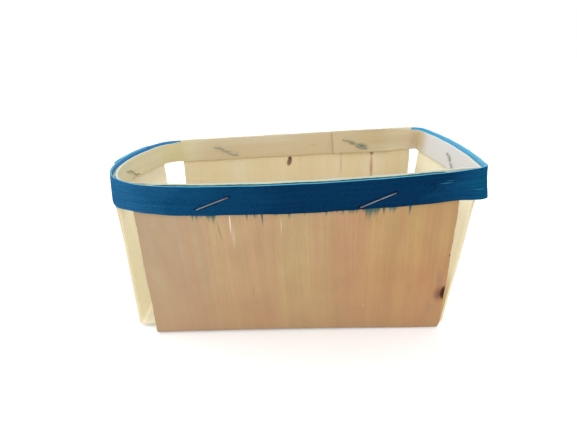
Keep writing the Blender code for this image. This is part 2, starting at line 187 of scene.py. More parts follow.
# Where the sheets' long edges meet the rim, and how finely the sheets are drawn.
CROSS_FRONT_EDGES = (0.0083 - LEFT_REACH, RIGHT_REACH - 0.0125)
CROSS_BACK_EDGES = (0.0097 - LEFT_REACH, RIGHT_REACH - 0.0076)
CROSS_FRONT_SKEW = 0.0029
CROSS_FRONT_TAPER = 0.0020
CROSS_STAND = 0.0007
CROSS_BOWED_SHARE = 0.0001
END_LEFT_EDGES = (0.0135 - FRONT_REACH, BACK_REACH - 0.0050)
END_RIGHT_EDGES = (0.0045 - FRONT_REACH, BACK_REACH - 0.0072)
END_LEFT_SHIFT = 0.0040
END_LEFT_TURN = math.radians(1.4)
CROSS_COLUMNS = 130
WALL_ROWS = 56
FOLD_ROWS = 10
BASE_ROWS = 64

# What cutting and use did to it: uneven edges, buckles, a sprung front foot and worn corners.
EDGE_WAVE_REACH = 0.0018
TOP_WAVE_REACH = 0.0012
TOP_CUT = 0.0002
BUCKLE_TOP, BUCKLE_TOP_RUN = 0.024, 0.025
BUCKLE_FOOT, BUCKLE_FOOT_RUN = 0.094, 0.030
BASE_BOW = 0.0011
BOW_MIDDLE = -0.010
BOW_REACH = 0.088
BOW_BASE_EDGE, BOW_BASE_RUN = -0.012, 0.040
BOW_WALL_EDGE, BOW_WALL_RUN = 0.055, 0.045
LEFT_WEAR, LEFT_WEAR_SPAN, LEFT_WEAR_RUN = 0.0016, 0.026, 0.022
RIGHT_WEAR, RIGHT_WEAR_SPAN, RIGHT_WEAR_RUN = 0.0013, 0.014, 0.010
WEAR_DEPTH = 0.004
FOOT_WEAR, FOOT_WEAR_REACH, FOOT_WEAR_SPAN = 0.0016, 0.0032, 0.012


def ease(share):
    share = np.clip(share, 0.0, 1.0)
    return share * share * (3 - 2 * share)


def ripple(places, *waves):
    """A slow uneven wave: each of its parts is a length, a height and a start."""
    return sum(height * np.sin(2 * math.pi * (places / length + start)) for length, height, start in waves)


def bowed_side(start, end, bulge, first_round, last_round):
    """Points along one bowed side of the rim, between its two rounded corners."""
    chord = end - start
    span = float(np.hypot(*chord))
    along = chord / span
    outward = np.array((along[1], -along[0]))
    distance = np.linspace(first_round, span - last_round, SIDE_STEPS + 1)[:, None]
    centred = 2 * distance / span - 1
    return start + along * distance + outward * bulge * (1 - centred * centred)


def rounded_corner(side, following):
    """The rim's curve from the end of one side to the start of the next."""
    start, end = (Vector((*spot, 0.0)) for spot in (side[-1], following[0]))
    leave = Vector((*(side[-1] - side[-2]), 0.0)).normalized()
    arrive = Vector((*(following[1] - following[0]), 0.0)).normalized()
    reach = (end - start).length * CORNER_HANDLE_SHARE
    curve = interpolate_bezier(start, start + leave * reach, end - arrive * reach, end, CORNER_STEPS + 1)
    return np.array([point[:2] for point in curve[1:-1]])


corners = [np.array(corner) for corner in (
    (-LEFT_REACH + LEFT_SKEW, -FRONT_REACH + FRONT_SKEW),
    (RIGHT_REACH + RIGHT_SKEW, -FRONT_REACH - FRONT_SKEW),
    (RIGHT_REACH - RIGHT_SKEW, BACK_REACH),
    (-LEFT_REACH - LEFT_SKEW, BACK_REACH),
)]
neighbours = ((0, 1), (1, 2), (2, 3), (3, 0))
sides = [bowed_side(corners[index], corners[after], BULGES[index], ROUNDINGS[index], ROUNDINGS[after])
         for index, after in neighbours]
outline = np.vstack([np.vstack((sides[index], rounded_corner(sides[index], sides[after])))
                     for index, after in neighbours])
outline = np.vstack((outline, outline[:1]))
outline_distance = np.concatenate(([0.0], np.cumsum(np.hypot(*np.diff(outline, axis=0).T))))
RIM_LENGTH = outline_distance[-1]


def height_at(x):
    """Height of the rim, which rises from the left end to the right one."""
    return RIM_HEIGHT + RIM_RISE * x / (LEFT_REACH + RIGHT_REACH)


def rim_distance(axis, value, side):
    """Distance along the rim where it crosses a plane, on the side that is asked for."""
    ahead = outline[:, axis] - value
    crossing = (ahead[:-1] * ahead[1:] <= 0) & (outline[:-1, 1 - axis] * side > 0)
    index = int(np.argmax(crossing))
    share = ahead[index] / (ahead[index] - ahead[index + 1])
    return outline_distance[index] + share * (outline_distance[index + 1] - outline_distance[index])


def end_spread(x, y):
    """How far an end wall moves along Y: its sheet spans less where it is bowed at the rim."""
    moved = np.zeros_like(y)
    for on_end, side, edges in ((x < 0, -1, END_LEFT_EDGES), (x >= 0, 1, END_RIGHT_EDGES)):
        held = np.clip(y[on_end], *edges)
        middle = rim_distance(1, 0.0, side)
        flat = np.array([side * (rim_distance(1, value, side) - middle) for value in held])
        moved[on_end] = held - flat + (END_LEFT_SHIFT if side < 0 else 0.0)
    return moved


def beyond(value, low, high):
    """How far a value lies outside a stretch."""
    return np.maximum(np.maximum(value - high, low - value), 0.0)


def find_leans(front_splay):
    """How the walls move in plan: their lean up to the rim, the pull that bows them below it, and
    how free each place is of both sheets, from 0 where one lies there to 1 amid an open corner."""
    x, y = outline.T
    front, left = y <= 0, x < 0
    spread_out = np.where(front, CROSS_FRONT_TAPER * x / (BASE_LENGTH / 2) - CROSS_FRONT_SKEW, 0.0)
    fold_line = np.where(front, -BASE_DEPTH / 2, BASE_DEPTH / 2) + x * math.tan(BASE_TURN)
    side_lean = np.stack((spread_out, y - fold_line), axis=-1)
    end_line = np.where(left, -BASE_LENGTH / 2 - y * math.tan(END_LEFT_TURN), BASE_LENGTH / 2)
    end_lean = np.stack((x - end_line, end_spread(x, y)), axis=-1)
    low, high = (np.where(front, *pair) for pair in zip(CROSS_FRONT_EDGES, CROSS_BACK_EDGES))
    near, far = (np.where(left, *pair) for pair in zip(END_LEFT_EDGES, END_RIGHT_EDGES))
    past_side, before_end = beyond(x, low, high), beyond(y, near, far)
    share = np.where(past_side > 0, past_side / np.maximum(past_side + before_end, 1e-12), 0.0)
    lean = side_lean + (end_lean - side_lean) * ease(share)[:, None]
    pull = np.zeros_like(lean)
    middle = np.maximum(1 - (y / BACK_REACH) ** 4, 0.0)
    pull[left, 0] = (-LEFT_BELLY * ease(share) * middle)[left]
    for corner, rim_side, reach, side_edge, end_edge in (
            (front & ~left, -1, front_splay, CROSS_FRONT_EDGES[1], END_RIGHT_EDGES[0] + SPLAY_OVERRUN),
            (~front & ~left, 1, BACK_RIGHT_SPLAY, CROSS_BACK_EDGES[1], END_RIGHT_EDGES[1] - SPLAY_OVERRUN)):
        leave = rim_distance(0, side_edge - SPLAY_OVERRUN, rim_side)
        arrive = rim_distance(1, end_edge, 1)
        free = np.clip((outline_distance[corner] - leave) / (arrive - leave), 0.0, 1.0)
        outward = np.array((math.cos(SPLAY_TURN), rim_side * math.sin(SPLAY_TURN)))
        pull[corner] = outward * reach * np.sin(math.pi * free)[:, None] ** 2
    return lean, pull, 4 * share * (1 - share)


walls = find_leans(FRONT_RIGHT_SPLAY)
inner_walls = find_leans(INNER_FRONT_RIGHT_SPLAY)


def wall_spots(distance, drop, held_by=walls):
    """Points of the walls' middle surface, some way along the rim and some way below it."""
    distance, drop = np.broadcast_arrays(np.asarray(distance, float), np.asarray(drop, float))
    wrapped = np.mod(distance, RIM_LENGTH)
    x, y, lean_x, lean_y, pull_x, pull_y = (
        np.interp(wrapped, outline_distance, values[:, axis])
        for values in (outline, *held_by[:2]) for axis in range(2))
    height = height_at(x)
    below = (drop - COLLAR_DEPTH) / (height - COLLAR_DEPTH)
    bow = np.where(below < 0, drop / COLLAR_DEPTH, 1 - below * below)
    spots = (x - lean_x * drop / height + pull_x * bow, y - lean_y * drop / height + pull_y * bow,
             height - drop)
    return np.stack(spots, axis=-1) + TO_MIDDLE


def unit(vectors):
    return vectors / np.linalg.norm(vectors, axis=-1, keepdims=True)


def rim_surface(distance, drop, offset, held_by=walls):
    """Places on the walls' middle surface or beside it, with the outward, along and up ways."""
    ahead, behind = (wall_spots(distance + nudge, drop, held_by) for nudge in (TANGENT_NUDGE, -TANGENT_NUDGE))
    tangent = unit(ahead - behind)
    level = 0.0 * drop
    ruling = unit(wall_spots(distance, level, held_by) - wall_spots(distance, COLLAR_DEPTH + level, held_by))
    outward = unit(np.cross(tangent, ruling))
    spots = wall_spots(distance, drop, held_by) + outward * np.asarray(offset)[..., None]
    return spots, outward, tangent, ruling


def applied(form):
    """The finished mesh of an object that is no longer needed."""
    bpy.context.view_layer.update()
    mesh = bpy.data.meshes.new_from_object(form.evaluated_get(bpy.context.evaluated_depsgraph_get()))
    bpy.data.objects.remove(form, do_unlink=True)
    return mesh


def laid_sheet(name, spots, grain, place, outward, thickness):
    """A sheet of wood through a field of points, with its thickness and softly rounded cut edges.

    'grain' runs across and along the fibres in metres; 'place' says where on the piece a point is.
    The sheet's own face looks 'outward'; the other face and the cut edges take slots 1 and 2.
    """
    rows, columns = spots.shape[:2]
    mesh = bpy.data.meshes.new(name + "_form")
    shaper = bmesh.new()
    bmesh.ops.create_grid(shaper, x_segments=columns - 1, y_segments=rows - 1, size=BASE_LENGTH)
    shaper.verts.ensure_lookup_table()
    for vertex, spot in zip(shaper.verts, spots.reshape(-1, 3)):
        vertex.co = spot
    shaper.normal_update()
    shaper.faces.ensure_lookup_table()
    if shaper.faces[0].normal.dot(Vector(outward)) < 0:
        bmesh.ops.reverse_faces(shaper, faces=shaper.faces)
    shaper.to_mesh(mesh)
    shaper.free()
    corner_vertex = np.empty(len(mesh.loops), np.int32)
    mesh.loops.foreach_get("vertex_index", corner_vertex)
    layer = mesh.uv_layers.new(name="grain")
    layer.uv.foreach_set("vector", grain.reshape(-1, 2)[corner_vertex].astype(np.float32).ravel())
    marks = mesh.attributes.new("place", "FLOAT_VECTOR", "POINT")
    marks.data.foreach_set("vector", place.reshape(-1, 3).astype(np.float32).ravel())
    for _ in range(3):
        mesh.materials.append(None)
    form = add(name + "_form", mesh)
    thicken = form.modifiers.new("thickness", "SOLIDIFY")
    thicken.thickness = thickness
    thicken.offset = 0.0
    thicken.use_even_offset = True
    thicken.material_offset = 1
    thicken.material_offset_rim = 2
    soften = form.modifiers.new("worn_edges", "BEVEL")
    soften.width = EDGE_ROUND
    soften.segments = 2
    soften.limit_method = "ANGLE"
    soften.angle_limit = SHARP_ANGLE
    finished = applied(form)
    finished.name = name
    finished.shade_smooth()
    return add(name, finished)


def rounded_bend(corner, back, forth, radius, steps):
    """Points of the arc that rounds a corner off, from one of its two arms to the other."""
    turn = math.pi - back.angle(forth)
    start, end = (corner + arm * radius * math.tan(turn / 2) for arm in (back, forth))
    centre = corner + (back + forth).normalized() * radius / math.cos(turn / 2)
    spoke = start - centre
    axis = spoke.cross(end - centre).normalized()
    return [centre + Matrix.Rotation(turn * step / steps, 3, axis) @ spoke for step in range(steps + 1)]


def folded_wall(distance, top_drop, floor_height, inward, bowed_share):
    """One wall from its top edge down to its foot, then its fold, down to where the base starts.

    It keeps its bow over a share of its height below the collar, and is straight from there.
    """
    height = float(height_at(wall_spots(distance, 0.0)[0] - TO_MIDDLE[0]))
    last = COLLAR_DEPTH + (height - COLLAR_DEPTH) * bowed_share
    above = wall_spots(distance, np.linspace(top_drop, last, max(int(WALL_ROWS * last / height), 2)))
    knee = Vector(above[-1])
    foot = Vector(wall_spots(distance, height))
    slope = knee - foot
    foot = foot + slope * ((floor_height - foot.z) / slope.z)
    bend = rounded_bend(foot, (knee - foot).normalized(), inward, FOLD_RADIUS, FOLD_ROWS)
    rest = WALL_ROWS - len(above)
    straight = [knee.lerp(bend[0], (step + 1) / (rest + 1)) for step in range(rest + 1)]
    return np.vstack((above, np.array([tuple(spot) for spot in straight + bend[1:]])))


def folded_sheet(across, edges, columns, floor_height, top_drop, bowed_share):
    """The field of points of a sheet folded up at both ends of the base, with grain and place.

    A place is how far across the sheet a point is, how far below its top edge, and on which part:
    -1 on the first wall, 0 on the base and 1 on the second wall.
    """
    along = 1 - across
    field, grain, place = [], [], []
    for column in range(columns + 1):
        halves = []
        for side, (low, high) in zip((-1, 1), edges):
            position = low + (high - low) * column / columns
            inward = Vector((0.0, 0.0, 0.0))
            inward[along] = -side
            distance = rim_distance(across, position, side)
            halves.append((position, folded_wall(distance, top_drop, floor_height, inward, bowed_share)))
        (first, front), (second, back) = halves
        shares = np.linspace(0.0, 1.0, BASE_ROWS + 2)[1:-1, None]
        base = front[-1] + (back[-1] - front[-1]) * shares
        line = np.vstack((front, base, back[::-1]))
        steps = np.concatenate(([0.0], np.cumsum(np.linalg.norm(np.diff(line, axis=0), axis=1))))
        position = first + (second - first) * steps / steps[-1]
        count = len(front)
        side = np.concatenate((-np.ones(count), np.zeros(BASE_ROWS), np.ones(count)))
        drop = np.where(side <= 0, steps, steps[-1] - steps)
        across_place = np.concatenate((np.full(count, first), position[count:-count], np.full(count, second)))
        field.append(line)
        grain.append(np.stack((across_place, steps), axis=-1))
        place.append(np.stack((across_place, drop, side), axis=-1))
    return np.array(field), np.array(grain), np.array(place)


def work_the_sheet(field, place, across, edge_waves, face_waves, top_waves):
    """Makes a sheet uneven: wavy long edges, gently buckled walls and a rough-cut top edge.

    The side is added to where a wave starts, so that the two walls differ.
    """
    along = 1 - across
    position, drop, side = (place[..., axis] for axis in range(3))
    from_first = np.linalg.norm(field - field[:1], axis=-1)
    from_last = np.linalg.norm(field - field[-1:], axis=-1)
    for reach, wave in zip((from_first, from_last), edge_waves):
        field[..., across] += ripple(drop + 0.31 * side, *wave) * np.exp(-reach / EDGE_WAVE_REACH)
    below_collar = ease((drop - BUCKLE_TOP) / BUCKLE_TOP_RUN)
    free = below_collar * ease((BUCKLE_FOOT - drop) / BUCKLE_FOOT_RUN) * np.abs(side)
    field[..., along] += ripple(position + 0.17 * drop + 0.07 * side, *face_waves) * free
    near_top = np.exp(-drop / TOP_WAVE_REACH)
    field[..., 2] -= (TOP_CUT + ripple(position + 0.4 * side, *top_waves)) * near_top * np.abs(side)


def bow_the_base(field, place):
    """Springs the front foot up between its two corners, with the base behind it."""
    drop, side = place[..., 1], place[..., 2]
    span = np.maximum(1 - ((field[..., 0] - BOW_MIDDLE) / BOW_REACH) ** 2, 0.0)
    on_base = ease((BOW_BASE_EDGE - field[..., 1]) / BOW_BASE_RUN)
    on_wall = ease((drop - BOW_WALL_EDGE) / BOW_WALL_RUN) * (side < 0)
    field[..., 2] += BASE_BOW * span * np.where(side == 0, on_base, on_wall)


def wear_the_corners(field, place):
    """Takes the front wall's two top corners down below the bands' edges, and rounds its right foot."""
    position, drop, side = (place[..., axis] for axis in range(3))
    low, high = CROSS_FRONT_EDGES
    worn = (LEFT_WEAR * ease((low + LEFT_WEAR_SPAN - position) / LEFT_WEAR_RUN)
            + RIGHT_WEAR * ease((position - high + RIGHT_WEAR_SPAN) / RIGHT_WEAR_RUN))
    field[..., 2] -= worn * np.exp(-drop / WEAR_DEPTH) * (side < 0)
    from_foot = np.hypot(field[..., 2], field[..., 1] + BASE_DEPTH / 2 - TO_MIDDLE[1])
    rounded = FOOT_WEAR * np.exp(-(from_foot / FOOT_WEAR_REACH) ** 2)
    field[..., 0] -= rounded * ease((position - high + FOOT_WEAR_SPAN) / FOOT_WEAR_SPAN) * (side <= 0)


cross_field, cross_grain, cross_place = folded_sheet(
    0, (CROSS_FRONT_EDGES, CROSS_BACK_EDGES), CROSS_COLUMNS, VENEER_THICKNESS / 2, -CROSS_STAND,
    CROSS_BOWED_SHARE)
work_the_sheet(
    cross_field, cross_place, 0,
    (((0.047, 0.00016, 0.1), (0.013, 0.00009, 0.6), (0.0052, 0.00005, 0.2)),
     ((0.039, 0.00016, 0.4), (0.0147, 0.00010, 0.3), (0.0047, 0.00005, 0.7))),
    ((0.061, 0.00022, 0.2), (0.027, 0.00010, 0.5)),
    ((0.034, 0.00010, 0.3), (0.0061, 0.00006, 0.1)))
bow_the_base(cross_field, cross_place)
wear_the_corners(cross_field, cross_place)
cross_sheet = laid_sheet("cross_sheet", cross_field, cross_grain, cross_place,
                         (0.0, -1.0, 0.0), VENEER_THICKNESS)

# The outer face is the veneer's tight face, tan: partly its own tone and partly painted shade, darker than
# the inner face's cream.
OUTER_TAN = (0.468, 0.296, 0.162)
OUTER_YELLOW = (0.494, 0.346, 0.172)
OUTER_PINK = (0.448, 0.262, 0.140)
OUTER_OLIVE = (0.405, 0.310, 0.148)
OUTER_GREY = (0.443, 0.343, 0.227)
OUTER_CONTRAST = 0.066
WARMTH = (1.00, 0.84, 0.72)
INNER_CREAM = (0.730, 0.620, 0.410)
INNER_YELLOW = (0.715, 0.585, 0.370)
INNER_PALE = (0.745, 0.655, 0.470)
CUT_PALE = (0.800, 0.690, 0.460)
CUT_BROWN = (0.470, 0.330, 0.190)
DYE_TEAL = (0.024, 0.110, 0.100)
KNOT_BROWN = (0.042, 0.008, 0.002)
TOP_STAINED = (0.430, 0.500, 0.410)
RELIEF_DEPTH = 0.0004
TOP_STAIN_DEPTH = 0.0016
BAND_FOOT = 0.0192
HIDDEN_RUN = 0.0020
CREEP_LENGTH = 0.0090
OUTER_SPECULAR = 0.15


def group(name, inputs, outputs):
    """An empty shader group: an input without a starting value is a vector, all else are values."""
    made = bpy.data.node_groups.new(name, "ShaderNodeTree")
    for socket_name, value in inputs.items():
        kind = "NodeSocketVector" if value is None else "NodeSocketFloat"
        socket = made.interface.new_socket(socket_name, in_out="INPUT", socket_type=kind)
        if value is not None:
            socket.default_value = value
    for socket_name in outputs:
        made.interface.new_socket(socket_name, in_out="OUTPUT", socket_type="NodeSocketFloat")
    return made, made.nodes.new("NodeGroupInput").outputs, made.nodes.new("NodeGroupOutput")


def vectors(tree, operation, first, second):
    return put(tree, "ShaderNodeVectorMath", {0: first, 1: second}, operation=operation).outputs[0]


def split(tree, vector):
    return put(tree, "ShaderNodeSeparateXYZ", {0: vector}).outputs


def streaks(tree, vector, across, along, shift, detail, roughness=0.5):
    """Noise drawn out along the fibres, with so many steps a metre across them and along them."""
    scaled = vectors(tree, "MULTIPLY", vector, (across, along, 1.0))
    inputs = {"Vector": vectors(tree, "ADD", scaled, (shift, shift, shift)), "Scale": 1.0,
              "Detail": detail, "Roughness": roughness}
    return put(tree, "ShaderNodeTexNoise", inputs).outputs[0]


def from_to(tree, value, low, high, out_low=0.0, out_high=1.0, smooth=True):
    """Maps a stretch of a value to another stretch, with soft ends unless smooth is off."""
    inputs = {0: value, 1: low, 2: high, 3: out_low, 4: out_high}
    way = "SMOOTHSTEP" if smooth else "LINEAR"
    return put(tree, "ShaderNodeMapRange", inputs, interpolation_type=way).outputs[0]


def between(tree, value, rise, fall):
    """A soft mask that rises to 1 over one stretch of a value and falls again over another."""
    return times(tree, from_to(tree, value, *rise), from_to(tree, value, *fall, 1.0, 0.0))


def tint(tree, share, first, second, way="MIX"):
    """Mixes a share of the second colour into the first, or multiplies it in."""
    first, second = (colour if isinstance(colour, bpy.types.NodeSocket) else (*colour, 1.0)
                     for colour in (first, second))
    return put(tree, "ShaderNodeMix", {0: share, 6: first, 7: second}, data_type="RGBA",
               blend_type=way).outputs[2]


# The grain of thin veneer: broad soft bands, growth lines, fine fibres and short open pores.
tree, given, result = group("veneer_grain", {"Grain": None, "Shift": 0.0},
                            ("Bands", "Lines", "Fibres", "Pores", "Relief"))
moved = vectors(tree, "ADD", given["Grain"], given["Shift"])
wander = vectors(tree, "MULTIPLY", streaks(tree, moved, 18.0, 9.0, 4.1, 1.0), (0.004, 0.0, 0.0))
moved = vectors(tree, "ADD", moved, wander)
lines = streaks(tree, moved, 330.0, 5.0, 7.7, 3.0, 0.6)
fibres = streaks(tree, moved, 1500.0, 28.0, 2.3, 2.0, 0.6)
pores = from_to(tree, streaks(tree, moved, 2100.0, 150.0, 5.9, 1.0), 0.66, 0.78)
relief = maths(tree, "MULTIPLY_ADD", lines, 0.5, times(tree, fibres, 0.5))
join(result, {"Bands": streaks(tree, moved, 42.0, 3.0, 0.0, 3.0, 0.55), "Lines": lines, "Fibres": fibres,
              "Pores": pores, "Relief": maths(tree, "SUBTRACT", relief, times(tree, pores, 0.35))})
grain_group = tree

# A mark on one wall: a soft spot with a middle, a half width, a half length and a slant.
tree, given, result = group(
    "wall_mark", {"Place": None, "Middle": None, "Half width": 0.001, "Half length": 0.005, "Slant": 0.0,
                  "Softness": 0.5}, ("Mark",))
away_across, away_along, away_side = split(tree, vectors(tree, "SUBTRACT", given["Place"], given["Middle"]))
upright = maths(tree, "SUBTRACT", away_across, times(tree, away_along, given["Slant"]))
wide = maths(tree, "DIVIDE", upright, given["Half width"])
long = maths(tree, "DIVIDE", away_along, given["Half length"])
radius = maths(tree, "SQRT", maths(tree, "MULTIPLY_ADD", wide, wide, times(tree, long, long)))
core = maths(tree, "SUBTRACT", 1.0, given["Softness"])
same_side = maths(tree, "LESS_THAN", maths(tree, "ABSOLUTE", away_side), 0.5)
join(result, {"Mark": times(tree, from_to(tree, radius, core, 1.0, 1.0, 0.0), same_side)})
mark_group = tree


def add_mark(tree, place, colour, middle, half_width, half_length, slant, softness, mark_colour, weight):
    """Lays a mark over a colour; the weight is how much of it shows, and may be a mask."""
    inputs = {"Place": place, "Middle": middle, "Half width": half_width, "Half length": half_length,
              "Slant": slant, "Softness": softness}
    spot = put(tree, "ShaderNodeGroup", inputs, node_tree=mark_group).outputs["Mark"]
    return tint(tree, times(tree, spot, weight), colour, mark_colour)


def wood_finish(name, shift):
    """A new wood material, its tree, the map of its fibres, each point's place and its grain."""
    finish, tree, _ = new_finish(name)
    fibre_map = put(tree, "ShaderNodeUVMap", uv_map="grain").outputs[0]
    place = put(tree, "ShaderNodeAttribute", attribute_name="place").outputs["Vector"]
    grain = put(tree, "ShaderNodeGroup", {"Grain": fibre_map, "Shift": shift}, node_tree=grain_group).outputs
    return finish, tree, fibre_map, place, grain


def veneer_colour(tree, grain, tones, contrast):
    """Soft bands between three tones, darker growth lines and fine fibres, and pores."""
    first, second, third = tones
    colour = tint(tree, from_to(tree, grain["Bands"], 0.36, 0.56), first, second)
    colour = tint(tree, from_to(tree, grain["Bands"], 0.56, 0.70), colour, third)
    shade = from_to(tree, grain["Lines"], 0.25, 0.75, 1 - contrast, 1 + contrast, False)
    fine = from_to(tree, grain["Fibres"], 0.25, 0.75, 1 - 0.6 * contrast, 1 + 0.6 * contrast, False)
    grey = times(tree, shade, fine, from_to(tree, grain["Pores"], 0.0, 1.0, 1.0, 0.84))
    return vectors(tree, "MULTIPLY", colour, grey)


def close_wood(tree, colour, grain, roughness, relief, unevenness=0.09):
    """Joins colour, roughness and relief to the wood's shader."""
    rough = from_to(tree, grain["Lines"], 0.2, 0.8, roughness - unevenness, roughness + unevenness, False)
    inputs = {"Height": grain["Relief"], "Strength": relief, "Distance": RELIEF_DEPTH}
    bump = put(tree, "ShaderNodeBump", inputs).outputs[0]
    join(tree.nodes["Principled BSDF"], {"Base Color": colour, "Roughness": rough, "Normal": bump})


def on_wall(tree, side, which):
    """1 on a sheet's first wall (-1) or on its second one (1), 0 on the rest of it."""
    return maths(tree, "GREATER_THAN", times(tree, side, which), 0.5)


def crept_dye(tree, fibre_map, drop, streaks_a_metre, shift, start, where_seen):
    """The mask of dye that crept down out of the blue band in short streaks."""
    dye = streaks(tree, fibre_map, streaks_a_metre, 1.0, shift, 2.0, 0.7)
    end = maths(tree, "ADD", from_to(tree, dye, 0.50, 0.75, 0.0, CREEP_LENGTH), BAND_FOOT)
    return times(tree, from_to(tree, drop, start, end, 0.55, 0.0), from_to(tree, dye, 0.50, 0.56), where_seen)


def dress(piece, *finishes):
    for index, finish in enumerate(finishes):
        piece.data.materials[index] = finish


# Tight face: greyer to the left, warmer to the right, pinker to the foot, with olive streaks.
tight_face, tree, fibre_map, place, grain = wood_finish("veneer_tight_face", 0.0)
colour = veneer_colour(tree, grain, (OUTER_YELLOW, OUTER_TAN, OUTER_PINK), OUTER_CONTRAST)
across, drop, side = split(tree, place)
on_front = on_wall(tree, side, -1)
grey_bands = streaks(tree, fibre_map, 110.0, 3.5, 12.3, 2.0, 0.6)
greyer = times(tree, from_to(tree, across, -0.085, -0.035, 0.85, 0.0), on_front,
               from_to(tree, grey_bands, 0.40, 0.60, 0.55, 1.0))
colour = tint(tree, greyer, colour, OUTER_GREY)
olive_streaks = streaks(tree, fibre_map, 120.0, 6.0, 2.9, 3.0, 0.65)
olive = times(tree, from_to(tree, olive_streaks, 0.53, 0.68, 0.0, 0.42),
              from_to(tree, across, -0.075, -0.020, 0.25, 1.0))
colour = tint(tree, olive, colour, OUTER_OLIVE)
clouds = streaks(tree, fibre_map, 60.0, 38.0, 6.1, 4.0, 0.6)
below_band = from_to(tree, drop, 0.030, 0.065, 1.0, 0.0)
upper_right = times(tree, from_to(tree, across, 0.045, 0.075), from_to(tree, drop, 0.040, 0.075, 1.0, 0.0))
# The fifth row darkens the foot, 0.096 to 0.106 below the top: painted shade where the wall meets the table.
for share, shade in (
        (from_to(tree, clouds, 0.30, 0.70), (0.93, 0.90, 0.90)),
        (below_band, (1.01, 1.03, 1.05)),
        (between(tree, across, (-0.070, -0.050), (-0.030, -0.005)), (1.03, 1.05, 1.07)),
        (upper_right, (0.96, 1.06, 1.03)),
        (from_to(tree, drop, 0.096, 0.106), (0.92, 0.96, 1.00)),
        (times(tree, from_to(tree, across, 0.000, 0.080), on_front), WARMTH)):
    colour = tint(tree, share, colour, shade, "MULTIPLY")
colour = tint(tree, times(tree, from_to(tree, drop, 0.055, 0.104, 0.0, 0.45), on_front), colour, OUTER_PINK)

# Dye that ran down from the band into the fibres in hairs, heaviest beside the right staple.
# Each run has its middle, its half width and its length.
HAIR_START_SHARE = 0.18
HAIR_TIP = 0.0002
DYE_RUNS = (
    (-0.0531, 0.0009, 0.0066), (-0.0517, 0.0007, 0.0046), (-0.0507, 0.0009, 0.0072),
    (-0.0494, 0.0008, 0.0048), (-0.0475, 0.0020, 0.0040), (-0.0434, 0.0028, 0.0066),
    (-0.0411, 0.0013, 0.0096), (-0.0398, 0.0009, 0.0060), (-0.0215, 0.0007, 0.0072),
    (-0.0191, 0.0007, 0.0036), (-0.0170, 0.0009, 0.0058), (-0.0159, 0.0006, 0.0040),
    (-0.0129, 0.0009, 0.0124), (-0.0054, 0.0014, 0.0044), (0.0025, 0.0010, 0.0068),
    (0.0112, 0.0008, 0.0046), (0.0231, 0.0010, 0.0056), (0.0260, 0.0008, 0.0040),
    (0.0291, 0.0010, 0.0046), (0.0322, 0.0011, 0.0064), (0.0380, 0.0050, 0.0052),
    (0.0484, 0.0068, 0.0092), (0.0466, 0.0026, 0.0114), (0.0552, 0.0012, 0.0092),
    (0.0602, 0.0034, 0.0062), (0.0606, 0.0012, 0.0078), (0.0701, 0.0011, 0.0100),
)
reach = 0.0
for middle, half_width, length in DYE_RUNS:
    away = maths(tree, "ABSOLUTE", maths(tree, "SUBTRACT", across, middle))
    reach = maths(tree, "MAXIMUM", reach, from_to(tree, away, 0.35 * half_width, half_width, length, 0.0))
hairs = streaks(tree, fibre_map, 1700.0, 12.0, 4.7, 2.0, 0.6)
reach = times(tree, reach, from_to(tree, hairs, 0.34, 0.56, 0.58, 1.0))
hair_start = maths(tree, "MULTIPLY_ADD", reach, HAIR_START_SHARE, BAND_FOOT - HIDDEN_RUN)
hair_end = maths(tree, "ADD", reach, BAND_FOOT - HIDDEN_RUN + HAIR_TIP)
ran = times(tree, from_to(tree, drop, hair_start, hair_end, 0.92, 0.0), on_front)
colour = tint(tree, ran, colour, DYE_TEAL)
crept = crept_dye(tree, fibre_map, drop, 260.0, 9.0, BAND_FOOT, on_wall(tree, side, 1))
colour = tint(tree, crept, colour, DYE_TEAL)

# The front's own marks: two splits, pale with a painted highlight along their raised fibres, a knot cut by
# the right edge, and a few soft streaks. Each has its middle, half width, half length, slant, softness,
# colour and weight.
for row in (
        ((-0.0316, 0.0240, -1.0), 0.00055, 0.0100, -0.052, 0.85, (0.84, 0.77, 0.62), 0.90),
        ((-0.0306, 0.0330, -1.0), 0.00150, 0.0110, -0.052, 1.00, (0.62, 0.48, 0.34), 0.55),
        ((-0.0025, 0.0270, -1.0), 0.00045, 0.0090, -0.030, 1.00, (0.74, 0.58, 0.39), 0.75),
        ((-0.0385, 0.0290, -1.0), 0.00070, 0.0095, 0.13, 0.9, (0.16, 0.17, 0.11), 0.60),
        ((-0.0228, 0.0730, -1.0), 0.00060, 0.0060, -0.10, 0.9, (0.22, 0.22, 0.13), 0.55),
        ((0.0297, 0.0915, -1.0), 0.00070, 0.0070, 0.0, 0.9, (0.24, 0.26, 0.20), 0.55),
        ((0.0935, 0.0715, -1.0), 0.0034, 0.0105, 0.10, 1.0, (0.27, 0.18, 0.13), 0.55),
        ((0.0950, 0.0825, -1.0), 0.0062, 0.0085, 0.0, 1.0, (0.16, 0.06, 0.04), 0.85),
        ((0.0905, 0.0930, -1.0), 0.0070, 0.0095, 0.0, 1.0, (0.33, 0.19, 0.11), 0.30),
        ((0.0978, 0.0818, -1.0), 0.0031, 0.0064, 0.0, 0.55, KNOT_BROWN, 1.00),
        ((0.0977, 0.0545, -1.0), 0.0007, 0.0011, 0.0, 0.8, (0.06, 0.05, 0.03), 0.85),
        ((0.0515, 0.0266, -1.0), 0.0017, 0.00035, 0.0, 0.9, (0.40, 0.14, 0.06), 0.75),
        ((0.0468, 0.0888, -1.0), 0.0007, 0.0008, 0.0, 0.9, (0.66, 0.48, 0.32), 0.80),
        ((0.0332, 0.0735, -1.0), 0.0006, 0.0007, 0.0, 0.9, (0.62, 0.46, 0.30), 0.60)):
    colour = add_mark(tree, place, colour, *row)
close_wood(tree, colour, grain, 0.66, 0.35)
join(tree.nodes["Principled BSDF"], {"Specular IOR Level": OUTER_SPECULAR})

